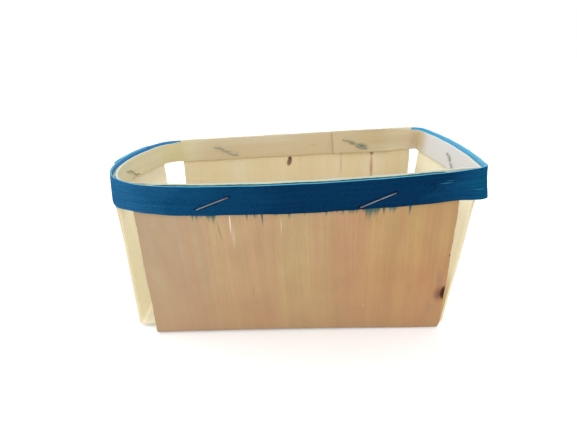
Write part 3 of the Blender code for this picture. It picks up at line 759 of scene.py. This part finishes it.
# Loose face, seen inside: two resin streaks that run down from dark dots, and a small knot.
loose_face, tree, fibre_map, place, grain = wood_finish("veneer_loose_face", 0.37)
colour = veneer_colour(tree, grain, (INNER_PALE, INNER_CREAM, INNER_YELLOW), 0.022)
for row in (
        ((0.0715, 0.0330, 1.0), 0.0021, 0.0185, 0.03, 0.9, (0.48, 0.22, 0.12), 0.75),
        ((0.0713, 0.0205, 1.0), 0.0023, 0.0022, 0.0, 0.8, (0.28, 0.11, 0.06), 0.80),
        ((0.0456, 0.0290, 1.0), 0.00045, 0.0120, 0.02, 0.8, (0.34, 0.20, 0.11), 0.85),
        ((0.0456, 0.0193, 1.0), 0.0009, 0.0010, 0.0, 0.8, (0.22, 0.11, 0.07), 0.80),
        ((0.0013, 0.0236, 1.0), 0.0026, 0.0050, -0.20, 0.5, (0.17, 0.075, 0.045), 0.95),
        ((0.0018, 0.0206, 1.0), 0.0023, 0.0018, 0.0, 0.7, (0.06, 0.025, 0.015), 0.85),
        ((0.0006, 0.0250, 1.0), 0.0006, 0.0026, -0.10, 0.8, (0.36, 0.21, 0.14), 0.60)):
    colour = add_mark(tree, place, colour, *row)
close_wood(tree, colour, grain, 0.62, 0.30)

# Cut edges, stained by the band's dye along the first wall's top.
cut_edge, tree, fibre_map, place, grain = wood_finish("veneer_cut_edge", 0.71)
colour = veneer_colour(tree, grain, (CUT_PALE, CUT_PALE, CUT_BROWN), 0.10)
across, drop, side = split(tree, place)
on_top = times(tree, maths(tree, "LESS_THAN", drop, TOP_STAIN_DEPTH), on_wall(tree, side, -1), 0.9)
colour = tint(tree, on_top, colour, TOP_STAINED)
close_wood(tree, colour, grain, 0.75, 0.5)

dress(cross_sheet, tight_face, loose_face, cut_edge)
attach(cross_sheet, "root")
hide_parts("cross_veneer")


# Lengthwise sheet: the same veneer with its grain the long way, laid over the cross sheet on the
# base and folded up at both ends. Its ends stop just below the bands' top edges.

# The end walls' inner tones are paler than the cross sheet's inner face: painted light.
END_PALE_PAINTED_LIGHT = (0.880, 0.820, 0.630)
END_CREAM_PAINTED_LIGHT = (0.870, 0.790, 0.560)
END_WALL_DROP = 0.0025
END_BOWED_SHARE = 0.75
LENGTHWISE_COLUMNS = 78

upper_floor = VENEER_THICKNESS + LAYER_GAP + VENEER_THICKNESS / 2
end_field, end_grain, end_place = folded_sheet(
    1, (END_LEFT_EDGES, END_RIGHT_EDGES), LENGTHWISE_COLUMNS, upper_floor, END_WALL_DROP, END_BOWED_SHARE)
work_the_sheet(
    end_field, end_place, 1,
    (((0.052, 0.00015, 0.7), (0.012, 0.00008, 0.2), (0.0049, 0.00005, 0.5)),
     ((0.043, 0.00015, 0.9), (0.0139, 0.00008, 0.8), (0.0057, 0.00005, 0.1))),
    ((0.048, 0.00018, 0.6), (0.021, 0.00008, 0.1)),
    ((0.029, 0.00010, 0.8), (0.0057, 0.00006, 0.4)))
bow_the_base(end_field, end_place)
lengthwise_sheet = laid_sheet("lengthwise_sheet", end_field, end_grain, end_place,
                              (-1.0, 0.0, 0.0), VENEER_THICKNESS)

end_outside, tree, fibre_map, place, grain = wood_finish("veneer_end_outside", 0.53)
colour = veneer_colour(tree, grain, (INNER_CREAM, INNER_YELLOW, INNER_PALE), OUTER_CONTRAST)
across, drop, side = split(tree, place)
on_ends = maths(tree, "GREATER_THAN", maths(tree, "ABSOLUTE", side), 0.5)
crept = crept_dye(tree, fibre_map, drop, 240.0, 3.0, BAND_FOOT - HIDDEN_RUN, on_ends)
colour = tint(tree, crept, colour, DYE_TEAL)
close_wood(tree, colour, grain, 0.66, 0.35)

# Inner face of the end walls, painted light as above. The right wall is painted lighter and whiter just below
# the bands, the left wall darker there and painted lighter further down, and the right wall darker and
# browner near its foot.
end_inside_painted_light, tree, fibre_map, place, grain = wood_finish("veneer_end_inside_painted_light", 0.19)
colour = veneer_colour(tree, grain, (END_PALE_PAINTED_LIGHT, END_PALE_PAINTED_LIGHT, END_CREAM_PAINTED_LIGHT), 0.030)
across, drop, side = split(tree, place)
near_band = from_to(tree, drop, 0.022, 0.036, 1.0, 0.0)
below_band = maths(tree, "SUBTRACT", 1.0, near_band)
near_foot = from_to(tree, drop, 0.064, 0.090)
for wall, height, shade in ((-1, near_band, (0.88, 0.88, 0.87)), (1, near_band, (1.10, 1.15, 1.20)),
                            (1, near_foot, (0.70, 0.54, 0.38)), (-1, below_band, (1.12, 1.14, 1.13))):
    colour = tint(tree, times(tree, on_wall(tree, side, wall), height), colour, shade, "MULTIPLY")
close_wood(tree, colour, grain, 0.60, 0.25)

dress(lengthwise_sheet, end_outside, end_inside_painted_light, cut_edge)
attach(lengthwise_sheet, "root")
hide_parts("lengthwise_veneer")


# Inner rim band: a strip of plain sliced veneer inside the walls, its grain along the rim. It was
# bent round dry, its two ends lapped at the back, and it dips below the blue band at the ends.

INNER_BAND_HEIGHT = 0.0177
INNER_STAND = 0.0004
INNER_END_DROP = 0.0018
INNER_DIP_RUN = 0.0180
FRONT_RIGHT_DIP_RUN = 0.0060
BACK_RIGHT_DIP_RUN = 0.0260
INNER_SPRING = 0.0012
INNER_LAP_START = 0.0380
INNER_LAP_LENGTH = 0.0440
INNER_LAP_STAND = 0.0007
LAP_STEP_RUN = 0.0040
LAP_RAMP = 0.0100
END_SLANT_REACH = 0.004
BAND_COLUMN = 0.0011
BAND_ROWS = 14
BAND_CUP = 0.00010
WALL_LAYER = VENEER_THICKNESS / 2 + LAYER_GAP + BAND_THICKNESS / 2
OUTER_BAND_HEIGHT = 0.0175
BAND_MIDDLE = 0.009

# Where each staple's middle lies: the axis and the value of a plane that crosses the rim there, on
# which side, and what share of the band's height it is below the top.
STAPLES = {
    "staple_front_left": (0, -0.398 * LEFT_REACH, -1, 0.56),
    "staple_front_right": (0, 0.46 * RIGHT_REACH, -1, 0.69),
    "staple_back_left": (0, -0.525 * LEFT_REACH, 1, 0.61),
    "staple_back_right": (0, 0.509 * RIGHT_REACH, 1, 0.59),
    "staple_left_end": (1, 0.20 * BACK_REACH, -1, 0.70),
    "staple_right_end": (1, -0.15 * FRONT_REACH, 1, 0.67),
}
CROWN_LENGTH = 0.0207
STAPLE_SLOPE = math.radians(20.5)
CROWN_HALF_RUN = CROWN_LENGTH / 2 * math.cos(STAPLE_SLOPE)
CROWN_HALF_RISE = CROWN_LENGTH / 2 * math.sin(STAPLE_SLOPE)
DENT_DEPTH = 0.00016
DENT_SPAN = 0.0016


def band_field(side, held_by, height, lap_start, lap_length, top_change, edge_waves, foot_waves, end_slants):
    """The field of points of a strip right round the rim, whose last end lies over its first.

    'side' is 1 outside the walls and -1 inside them. The staples' legs press it in a little, and
    amid the open corners the inner strip springs out towards the outer one. A place is the way
    round the rim, the way below it and the way from the strip's first end.
    """
    total = RIM_LENGTH + lap_length
    count = int(math.ceil(total / BAND_COLUMN))
    run = np.linspace(0.0, total, count + 1)[:, None]
    across = np.linspace(0.0, 1.0, BAND_ROWS + 1)[None, :]
    slant = (end_slants[0] * np.exp(-run / END_SLANT_REACH)
             + end_slants[1] * np.exp((run - total) / END_SLANT_REACH))
    run = run + slant * (across - 0.5)
    distance = lap_start + run
    lift = side * (BAND_THICKNESS + LAYER_GAP) * ease((run - RIM_LENGTH + LAP_RAMP) / LAP_RAMP)
    top = top_change(distance, run) + np.abs(ripple(distance, *edge_waves))
    foot = height + ripple(distance, *foot_waves)
    drop = top + (foot - top) * across
    cup = -BAND_CUP * side * (2 * across - 1) ** 2
    dent = 0.0 * drop
    for axis, value, rim_side, share in STAPLES.values():
        middle = rim_distance(axis, value, rim_side)
        for end in (-1, 1):
            ahead = distance - middle - end * CROWN_HALF_RUN
            ahead = np.mod(ahead + RIM_LENGTH / 2, RIM_LENGTH) - RIM_LENGTH / 2
            below = drop - OUTER_BAND_HEIGHT * share + end * CROWN_HALF_RISE
            dent = dent + DENT_DEPTH * np.exp(-(ahead ** 2 + below ** 2) / DENT_SPAN ** 2)
    free = np.interp(np.mod(distance, RIM_LENGTH), outline_distance, held_by[2])
    spring = INNER_SPRING * free if side < 0 else 0.0
    spots = rim_surface(distance, drop, side * WALL_LAYER + lift + cup - side * dent + spring, held_by)[0]
    grain = np.stack((drop, distance + 0 * drop), axis=-1)
    place = np.stack((np.mod(distance, RIM_LENGTH) + 0 * drop, drop, run + 0 * drop), axis=-1)
    return spots, grain, place


def inner_top(distance, run):
    """The inner strip stands up at front and back, dips at the two ends, and rises at its lap."""
    x, y = (np.interp(np.mod(distance, RIM_LENGTH), outline_distance, outline[:, axis]) for axis in range(2))
    reach = np.where(x > 0, RIGHT_REACH, LEFT_REACH)
    dip_run = np.where(x < 0, INNER_DIP_RUN, np.where(y < 0, FRONT_RIGHT_DIP_RUN, BACK_RIGHT_DIP_RUN))
    share = ease((np.abs(x) - reach + dip_run) / dip_run)
    lapped = ease((run - RIM_LENGTH + LAP_STEP_RUN / 2) / LAP_STEP_RUN)
    return -INNER_STAND * (1 - share) + INNER_END_DROP * share - INNER_LAP_STAND * lapped


def band(name, start, *field_values):
    """A strip laid right round the rim, from where its first end lies."""
    spots, grain, place = field_values
    outward = rim_surface(np.array(start), np.array(BAND_MIDDLE), 0.0)[1]
    return laid_sheet(name, spots, grain, place, outward, BAND_THICKNESS)


inner_start = rim_distance(0, INNER_LAP_START + INNER_LAP_LENGTH, 1)
inner_band = band("inner_band", inner_start, *band_field(
    -1, inner_walls, INNER_BAND_HEIGHT, inner_start, INNER_LAP_LENGTH, inner_top,
    ((0.058, 0.00016, 0.2), (0.017, 0.00006, 0.6)), ((0.066, 0.00018, 0.4), (0.019, 0.00007, 0.1)),
    (0.0012, -0.0016)))

BAND_CREAM = (0.600, 0.492, 0.315)
BAND_YELLOW = (0.575, 0.458, 0.262)
BAND_PALE = (0.642, 0.562, 0.412)
BAND_TONES = (BAND_PALE, BAND_CREAM, BAND_YELLOW)
BAND_CONTRAST = 0.04
BACK_LEFT_YELLOW = (0.560, 0.430, 0.200)
RUST_STAIN = (0.100, 0.185, 0.130)
EDGE_GREENISH = (0.430, 0.500, 0.430)
# The top edge's painted highlight towards both ends:
EDGE_PAINTED_HIGHLIGHT = (0.560, 0.700, 0.710)
EDGE_STAIN_DEPTH = 0.003
# Painted light on the inner face at the right end:
END_PAINTED_LIGHT = (0.770, 0.805, 0.870)


def box_x(tree):
    """How far a point is to the right of the basket's middle."""
    return split(tree, put(tree, "ShaderNodeTexCoord").outputs["Object"])[0]


def back_at(*places):
    """Ways round the rim to places on the back side."""
    return tuple(rim_distance(0, x, 1) for x in places)


# Its inner face: yellowed at the back left corner and plain cream round the lap; painted shade darkens the
# back right corner, and painted light makes it paler at the left end and nearly white at the right end.
band_inside, tree, fibre_map, place, grain = wood_finish("inner_band_face", 0.11)
colour = veneer_colour(tree, grain, BAND_TONES, BAND_CONTRAST)
round_rim, drop, run = split(tree, place)
back_left, = back_at(-0.0930)
yellowed = between(tree, round_rim, (back_left - 0.012, back_left - 0.002),
                   (back_left + 0.006, back_left + 0.020))
colour = tint(tree, times(tree, yellowed, 0.45), colour, BACK_LEFT_YELLOW)
lapped = between(tree, round_rim, back_at(0.075, 0.055), back_at(0.020, -0.010))
colour = tint(tree, times(tree, lapped, 0.85), colour, BAND_CREAM)
painted_shade_back_right = between(tree, round_rim, back_at(0.095, 0.070), back_at(0.080, 0.045))
colour = tint(tree, painted_shade_back_right, colour, (0.89, 0.86, 0.75), "MULTIPLY")
painted_light_left = between(tree, round_rim, back_at(-0.060, -0.090), (RIM_LENGTH - 0.036, RIM_LENGTH - 0.002))
colour = tint(tree, painted_light_left, colour, (1.10, 1.22, 1.24), "MULTIPLY")
right_end = rim_distance(1, 0.0, 1)
painted_light_right_end = between(tree, round_rim, (right_end - 0.062, right_end - 0.050),
                   (right_end + 0.034, right_end + 0.052))
colour = tint(tree, times(tree, painted_light_right_end, 0.85), colour, END_PAINTED_LIGHT)

# Stains of rust and dye round the clinched ends: each has a plane that crosses the rim at it, on
# which side, the way below the rim, its half width, its half length and its weight.
blotches = from_to(tree, grain["Lines"], 0.35, 0.62, 0.35, 1.0)
on_strip = put(tree, "ShaderNodeCombineXYZ", {0: round_rim, 1: drop, 2: 0.0}).outputs[0]
for axis, value, rim_side, below, half_width, half_length, weight in (
        (0, 0.0620, 1, 0.0125, 0.0075, 0.0040, 0.95), (0, 0.0545, 1, 0.0095, 0.0050, 0.0026, 0.80),
        (0, 0.0650, 1, 0.0145, 0.0030, 0.0018, 0.80), (0, 0.0220, 1, 0.0095, 0.0045, 0.0014, 0.35),
        (1, -0.0050, 1, 0.0110, 0.0045, 0.0040, 0.50), (0, -0.0520, 1, 0.0110, 0.0060, 0.0022, 0.55),
        (1, 0.0130, -1, 0.0120, 0.0050, 0.0022, 0.45)):
    middle = (rim_distance(axis, value, rim_side), below, 0.0)
    colour = add_mark(tree, on_strip, colour, middle, half_width, half_length, -0.6, 1.0, RUST_STAIN,
                      times(tree, blotches, weight))
close_wood(tree, colour, grain, 0.58, 0.25)

band_hidden, tree, fibre_map, place, grain = wood_finish("inner_band_back", 0.47)
close_wood(tree, veneer_colour(tree, grain, BAND_TONES, BAND_CONTRAST), grain, 0.62, 0.25)

# Its cut edges: pale at the lap's end, where painted light lifts the shade, and stained by the dye along the
# top, turning to a painted highlight towards both ends.
band_edge, tree, fibre_map, place, grain = wood_finish("inner_band_edge", 0.83)
colour = veneer_colour(tree, grain, BAND_TONES, BAND_CONTRAST)
at_ends = from_to(tree, maths(tree, "ABSOLUTE", box_x(tree)), 0.070, 0.108)
dye_and_painted_highlight = tint(tree, at_ends, EDGE_GREENISH, EDGE_PAINTED_HIGHLIGHT)
round_rim, drop, run = split(tree, place)
painted_light_lap_end = maths(tree, "GREATER_THAN", drop, EDGE_STAIN_DEPTH)
colour = tint(tree, painted_light_lap_end, colour, (1.25, 1.25, 1.25), "MULTIPLY")
on_top = maths(tree, "LESS_THAN", drop, EDGE_STAIN_DEPTH)
colour = tint(tree, times(tree, on_top, 0.8), colour, dye_and_painted_highlight)
close_wood(tree, colour, grain, 0.65, 0.3)

dress(inner_band, band_hidden, band_inside, band_edge)
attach(inner_band, "root")
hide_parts("inner_rim_band")


# Blue rim band: a strip of veneer dyed right through its surface, wrapped round the outside of the
# walls. Its ends lap at the left end. Dye lies thin on its sawn edges and on its inner face.

OUTER_LAP_START = 0.0420
OUTER_LAP_LENGTH = 0.0460

outer_start = rim_distance(1, OUTER_LAP_START, -1)
outer_band = band("blue_band", outer_start, *band_field(
    1, walls, OUTER_BAND_HEIGHT, outer_start, OUTER_LAP_LENGTH, lambda distance, run: 0.0 * distance,
    ((0.071, 0.00014, 0.3), (0.023, 0.00006, 0.8)), ((0.064, 0.00016, 0.9), (0.021, 0.00008, 0.2)),
    (-0.0010, 0.0018)))

DYE_LIGHT = (0.0150, 0.1350, 0.2850)
DYE_MIDDLE = (0.0050, 0.0600, 0.1460)
DYE_DEEP = (0.0026, 0.0290, 0.0800)
DYE_GREENISH = (0.0030, 0.0740, 0.1450)
CROWN_PAINTED_SHADOW = (0.0010, 0.0080, 0.0220)
HOLE_PAINTED_SHADE = (0.0008, 0.0060, 0.0160)
SKY_BACK = (0.045, 0.430, 0.780)
SKY_EDGE = (0.060, 0.370, 0.560)
SKY_PALE = (0.160, 0.520, 0.800)
HALF_BOX = 0.1213
CLOUD_SHIFT = 0.05
CROWN_SHADE_DROP = CROWN_SHADE_HALF_WIDTH = 0.0008
HOLE_HALF_LENGTH, HOLE_HALF_WIDTH = 0.0017, 0.0011

# Its outer face: pale at the left end, partly uneven dye and partly painted light with a painted highlight
# where it curves away; deepest from the middle to the right. The stops run from the left end of the box to
# the right end.
dyed_face, tree, fibre_map, place, grain = wood_finish("dyed_blue_face", 0.29)
clouds = streaks(tree, fibre_map, 90.0, 26.0, 1.7, 3.0, 0.6)
uneven_x = maths(tree, "MULTIPLY_ADD", maths(tree, "SUBTRACT", clouds, 0.5), CLOUD_SHIFT, box_x(tree))
ramp = put(tree, "ShaderNodeValToRGB", {0: from_to(tree, uneven_x, -HALF_BOX, HALF_BOX, smooth=False)})
stops = (
    (0.0, (0.1500, 0.2450, 0.3700)), (0.030, (0.0600, 0.1880, 0.3350)), (0.066, (0.0225, 0.1350, 0.2940)),
    (0.105, (0.0190, 0.1200, 0.2620)), (0.26, DYE_MIDDLE), (0.50, DYE_DEEP), (0.84, DYE_DEEP),
    (0.95, DYE_MIDDLE), (1.0, DYE_GREENISH),
)
for position, _ in stops[1:-1]:
    ramp.color_ramp.elements.new(position)
for element, (_, stop_colour) in zip(ramp.color_ramp.elements, stops):
    element.color = (*stop_colour, 1.0)
shade = from_to(tree, grain["Lines"], 0.25, 0.75, 0.95, 1.05, False)
fine = from_to(tree, grain["Fibres"], 0.25, 0.75, 0.84, 1.16, False)
mottled = streaks(tree, fibre_map, 1000.0, 550.0, 8.1, 2.0, 0.6)
fine = times(tree, fine, from_to(tree, mottled, 0.30, 0.70, 0.84, 1.16, False))
colour = vectors(tree, "MULTIPLY", ramp.outputs[0], times(tree, shade, fine))
pale = from_to(tree, grain["Bands"], 0.56, 0.74)
colour = tint(tree, times(tree, pale, 0.06), colour, (0.05, 0.26, 0.42))

# A painted shadow under each staple's crown, and a ring of painted shade where each leg goes in.
round_rim, drop, run = split(tree, place)
on_strip = put(tree, "ShaderNodeCombineXYZ", {0: round_rim, 1: drop, 2: 0.0}).outputs[0]
upright = put(tree, "ShaderNodeCombineXYZ", {0: drop, 1: round_rim, 2: 0.0}).outputs[0]
for axis, value, rim_side, share in STAPLES.values():
    middle, below = rim_distance(axis, value, rim_side), OUTER_BAND_HEIGHT * share
    under = (below + CROWN_SHADE_DROP, middle, 0.0)
    colour = add_mark(tree, upright, colour, under, CROWN_SHADE_HALF_WIDTH, CROWN_HALF_RUN,
                      -math.tan(STAPLE_SLOPE), 0.7, CROWN_PAINTED_SHADOW, 0.75)
    for end in (-1, 1):
        hole = (middle + end * CROWN_HALF_RUN, below - end * CROWN_HALF_RISE, 0.0)
        colour = add_mark(tree, on_strip, colour, hole, HOLE_HALF_LENGTH, HOLE_HALF_WIDTH, 0.0, 0.7,
                          HOLE_PAINTED_SHADE, 1.0)

# Scratches and dents on the front: each has its X, the way below the rim, its half width, its half
# length, its colour and its weight.
for x, below, half_width, half_length, mark_colour, weight in (
        (0.0885, 0.0060, 0.0055, 0.00045, (0.050, 0.230, 0.320), 0.60),
        (0.0905, 0.0048, 0.0035, 0.00035, (0.040, 0.190, 0.280), 0.50),
        (0.0800, 0.0055, 0.0016, 0.00110, (0.001, 0.012, 0.040), 0.75),
        (0.0820, 0.0080, 0.0011, 0.00140, (0.001, 0.014, 0.045), 0.65),
        (0.1050, 0.0115, 0.0030, 0.00030, (0.060, 0.250, 0.330), 0.50)):
    colour = add_mark(tree, on_strip, colour, (rim_distance(0, x, -1), below, 0.0), half_width, half_length,
                      0.0, 0.9, mark_colour, weight)
close_wood(tree, colour, grain, 0.58, 0.35, 0.08)
join(tree.nodes["Principled BSDF"], {"Specular IOR Level": 0.0})


def thin_dye_finish(name, shift, colour_there, deeper):
    """Wood with a thin, patchy coat of dye, which is deeper at the left end."""
    finish, tree, fibre_map, place, grain = wood_finish(name, shift)
    colour = tint(tree, from_to(tree, grain["Bands"], 0.40, 0.70, 0.0, 0.55), colour_there, SKY_PALE)
    colour = tint(tree, from_to(tree, grain["Lines"], 0.45, 0.75, 0.0, 0.30), colour, DYE_LIGHT)
    at_left = from_to(tree, box_x(tree), -0.100, -0.055, deeper, 0.0)
    colour = tint(tree, at_left, colour, (0.45, 0.58, 0.74), "MULTIPLY")
    close_wood(tree, colour, grain, 0.62, 0.25)
    return finish


dyed_back = thin_dye_finish("dyed_blue_back", 0.61, SKY_BACK, 1.0)
dyed_edge = thin_dye_finish("dyed_blue_edge", 0.91, SKY_EDGE, 0.25)
dress(outer_band, dyed_face, dyed_back, dyed_edge)
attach(outer_band, "root")
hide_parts("outer_rim_band")


# Staples: six lengths of drawn steel wire driven from outside through both bands and the wall
# between, with their legs bent over inside. Each sits aslant, its crown slightly bowed.

WIRE_DIAMETER = 0.0009
CLINCH_LENGTH = 0.0095
WIRE_BEND = 0.0009
BEND_STEPS = 6
CLINCH_TURN = math.radians(-12.0)
TIP_TURN = math.radians(24.0)
TIP_BEND_SHARE = 0.55
CROWN_STEPS = 8
CROWN_BOW = 0.00012
TIP_LENGTH = 0.0011
TIP_SHARE = 0.45
WIRE_SIDES = 4
MERGE_DISTANCE = 0.00001


def staple_route(distance, drop, outside, inside):
    """The wire's line: tip, clinch, leg, crown, leg, clinch, tip, with rounded bends."""
    middle, outward, tangent, ruling = (
        Vector(way) for way in rim_surface(np.array(distance), np.array(drop), 0.0))
    crown_way = (tangent * math.cos(STAPLE_SLOPE) + ruling * math.sin(STAPLE_SLOPE)).normalized()
    depth = inside
    for end in (-1, 1):
        spot = Vector(wall_spots(distance + end * CROWN_HALF_RUN, drop - end * CROWN_HALF_RISE))
        depth = max(depth, inside - (spot - middle).dot(outward))
    legs = []
    for end in (-1, 1):
        leg = middle + crown_way * (CROWN_LENGTH / 2) * end
        top, foot = leg + outward * outside, leg - outward * depth
        clinch_way = Matrix.Rotation(CLINCH_TURN, 3, outward) @ (crown_way * -end)
        tip_way = Matrix.Rotation(TIP_TURN, 3, outward) @ clinch_way
        knee = foot + clinch_way * CLINCH_LENGTH * TIP_BEND_SHARE
        legs.append((top, foot, knee, knee + tip_way * CLINCH_LENGTH * (1 - TIP_BEND_SHARE)))
    bent = [*reversed(legs[0]), *legs[1]]
    crown_end = legs[1][0]
    route = [bent[0], bent[0].lerp(bent[1], TIP_LENGTH / CLINCH_LENGTH)]
    for before, corner, after in zip(bent, bent[1:], bent[2:]):
        back, forth = ((spot - corner).normalized() for spot in (before, after))
        arc = rounded_bend(corner, back, forth, WIRE_BEND, BEND_STEPS)
        if corner is crown_end:
            first = route[-1]
            for step in range(1, CROWN_STEPS):
                share = step / CROWN_STEPS
                route.append(first.lerp(arc[0], share) - outward * CROWN_BOW * math.sin(math.pi * share))
        route.extend(arc)
    return [*route, bent[-1].lerp(bent[-2], TIP_LENGTH / CLINCH_LENGTH), bent[-1]], middle, outward


def staple(name, route, middle, outward):
    """Round wire along a route with slim tips; what lies inside the walls is marked as such."""
    line = bpy.data.curves.new(name + "_line", "CURVE")
    line.dimensions = "3D"
    line.bevel_depth = WIRE_DIAMETER / 2
    line.bevel_resolution = WIRE_SIDES
    line.use_fill_caps = True
    spline = line.splines.new("POLY")
    spline.points.add(len(route) - 1)
    for point, spot in zip(spline.points, route):
        point.co = (*spot, 1.0)
    for point in (spline.points[0], spline.points[-1]):
        point.radius = TIP_SHARE
    mesh = applied(add(name + "_line", line))
    shaper = bmesh.new()
    shaper.from_mesh(mesh)
    bmesh.ops.remove_doubles(shaper, verts=shaper.verts, dist=MERGE_DISTANCE)
    bmesh.ops.recalc_face_normals(shaper, faces=shaper.faces)
    shaper.to_mesh(mesh)
    shaper.free()
    ways = np.array([vertex.co[:] for vertex in mesh.vertices]) - np.array(middle)
    inside = mesh.attributes.new("inside", "FLOAT", "POINT")
    inside.data.foreach_set("value", (ways @ np.array(outward) < 0).astype(np.float32))
    mesh.name = name
    mesh.shade_smooth()
    mesh.set_sharp_from_angle(angle=SHARP_ANGLE)
    return add(name, mesh)


# Dull drawn steel with patches of brown rust outside, and greenish and paler inside, partly weathering and
# partly painted light.
wire_finish, tree, shader = new_finish("drawn_steel_wire")
spot_here = put(tree, "ShaderNodeTexCoord").outputs["Object"]
dulled = streaks(tree, spot_here, 260.0, 260.0, 0.0, 3.0, 0.6)
rusted = streaks(tree, spot_here, 95.0, 95.0, 3.3, 2.0, 0.6)
colour = tint(tree, dulled, (0.145, 0.163, 0.186), (0.250, 0.285, 0.340))
colour = tint(tree, from_to(tree, rusted, 0.46, 0.62, 0.0, 0.75), colour, (0.105, 0.080, 0.070))
clinched = put(tree, "ShaderNodeAttribute", attribute_name="inside").outputs["Fac"]
weathered_and_painted_light = tint(tree, dulled, (0.36, 0.38, 0.33), (0.48, 0.50, 0.44))
colour = tint(tree, times(tree, clinched, 0.85), colour, weathered_and_painted_light)
bump = put(tree, "ShaderNodeBump", {"Height": dulled, "Strength": 0.2, "Distance": 0.0001})
join(shader, {"Base Color": colour, "Metallic": 1.0, "Roughness": from_to(tree, dulled, 0.3, 0.7, 0.34, 0.52),
              "Normal": bump.outputs[0]})

outside = WALL_LAYER + BAND_THICKNESS / 2 + LAYER_GAP + WIRE_DIAMETER / 2
lap_lift = BAND_THICKNESS + LAYER_GAP
for name, (axis, value, rim_side, share) in STAPLES.items():
    more_outside = lap_lift if name == "staple_left_end" else 0.0
    more_inside = lap_lift if name == "staple_back_right" else 0.0
    wire = staple_route(rim_distance(axis, value, rim_side), OUTER_BAND_HEIGHT * share,
                        outside + more_outside, outside + more_inside)
    piece = staple(name + "_wire", *wire)
    piece.data.materials.clear()
    piece.data.materials.append(wire_finish)
    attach(piece, "root")
    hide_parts(name)
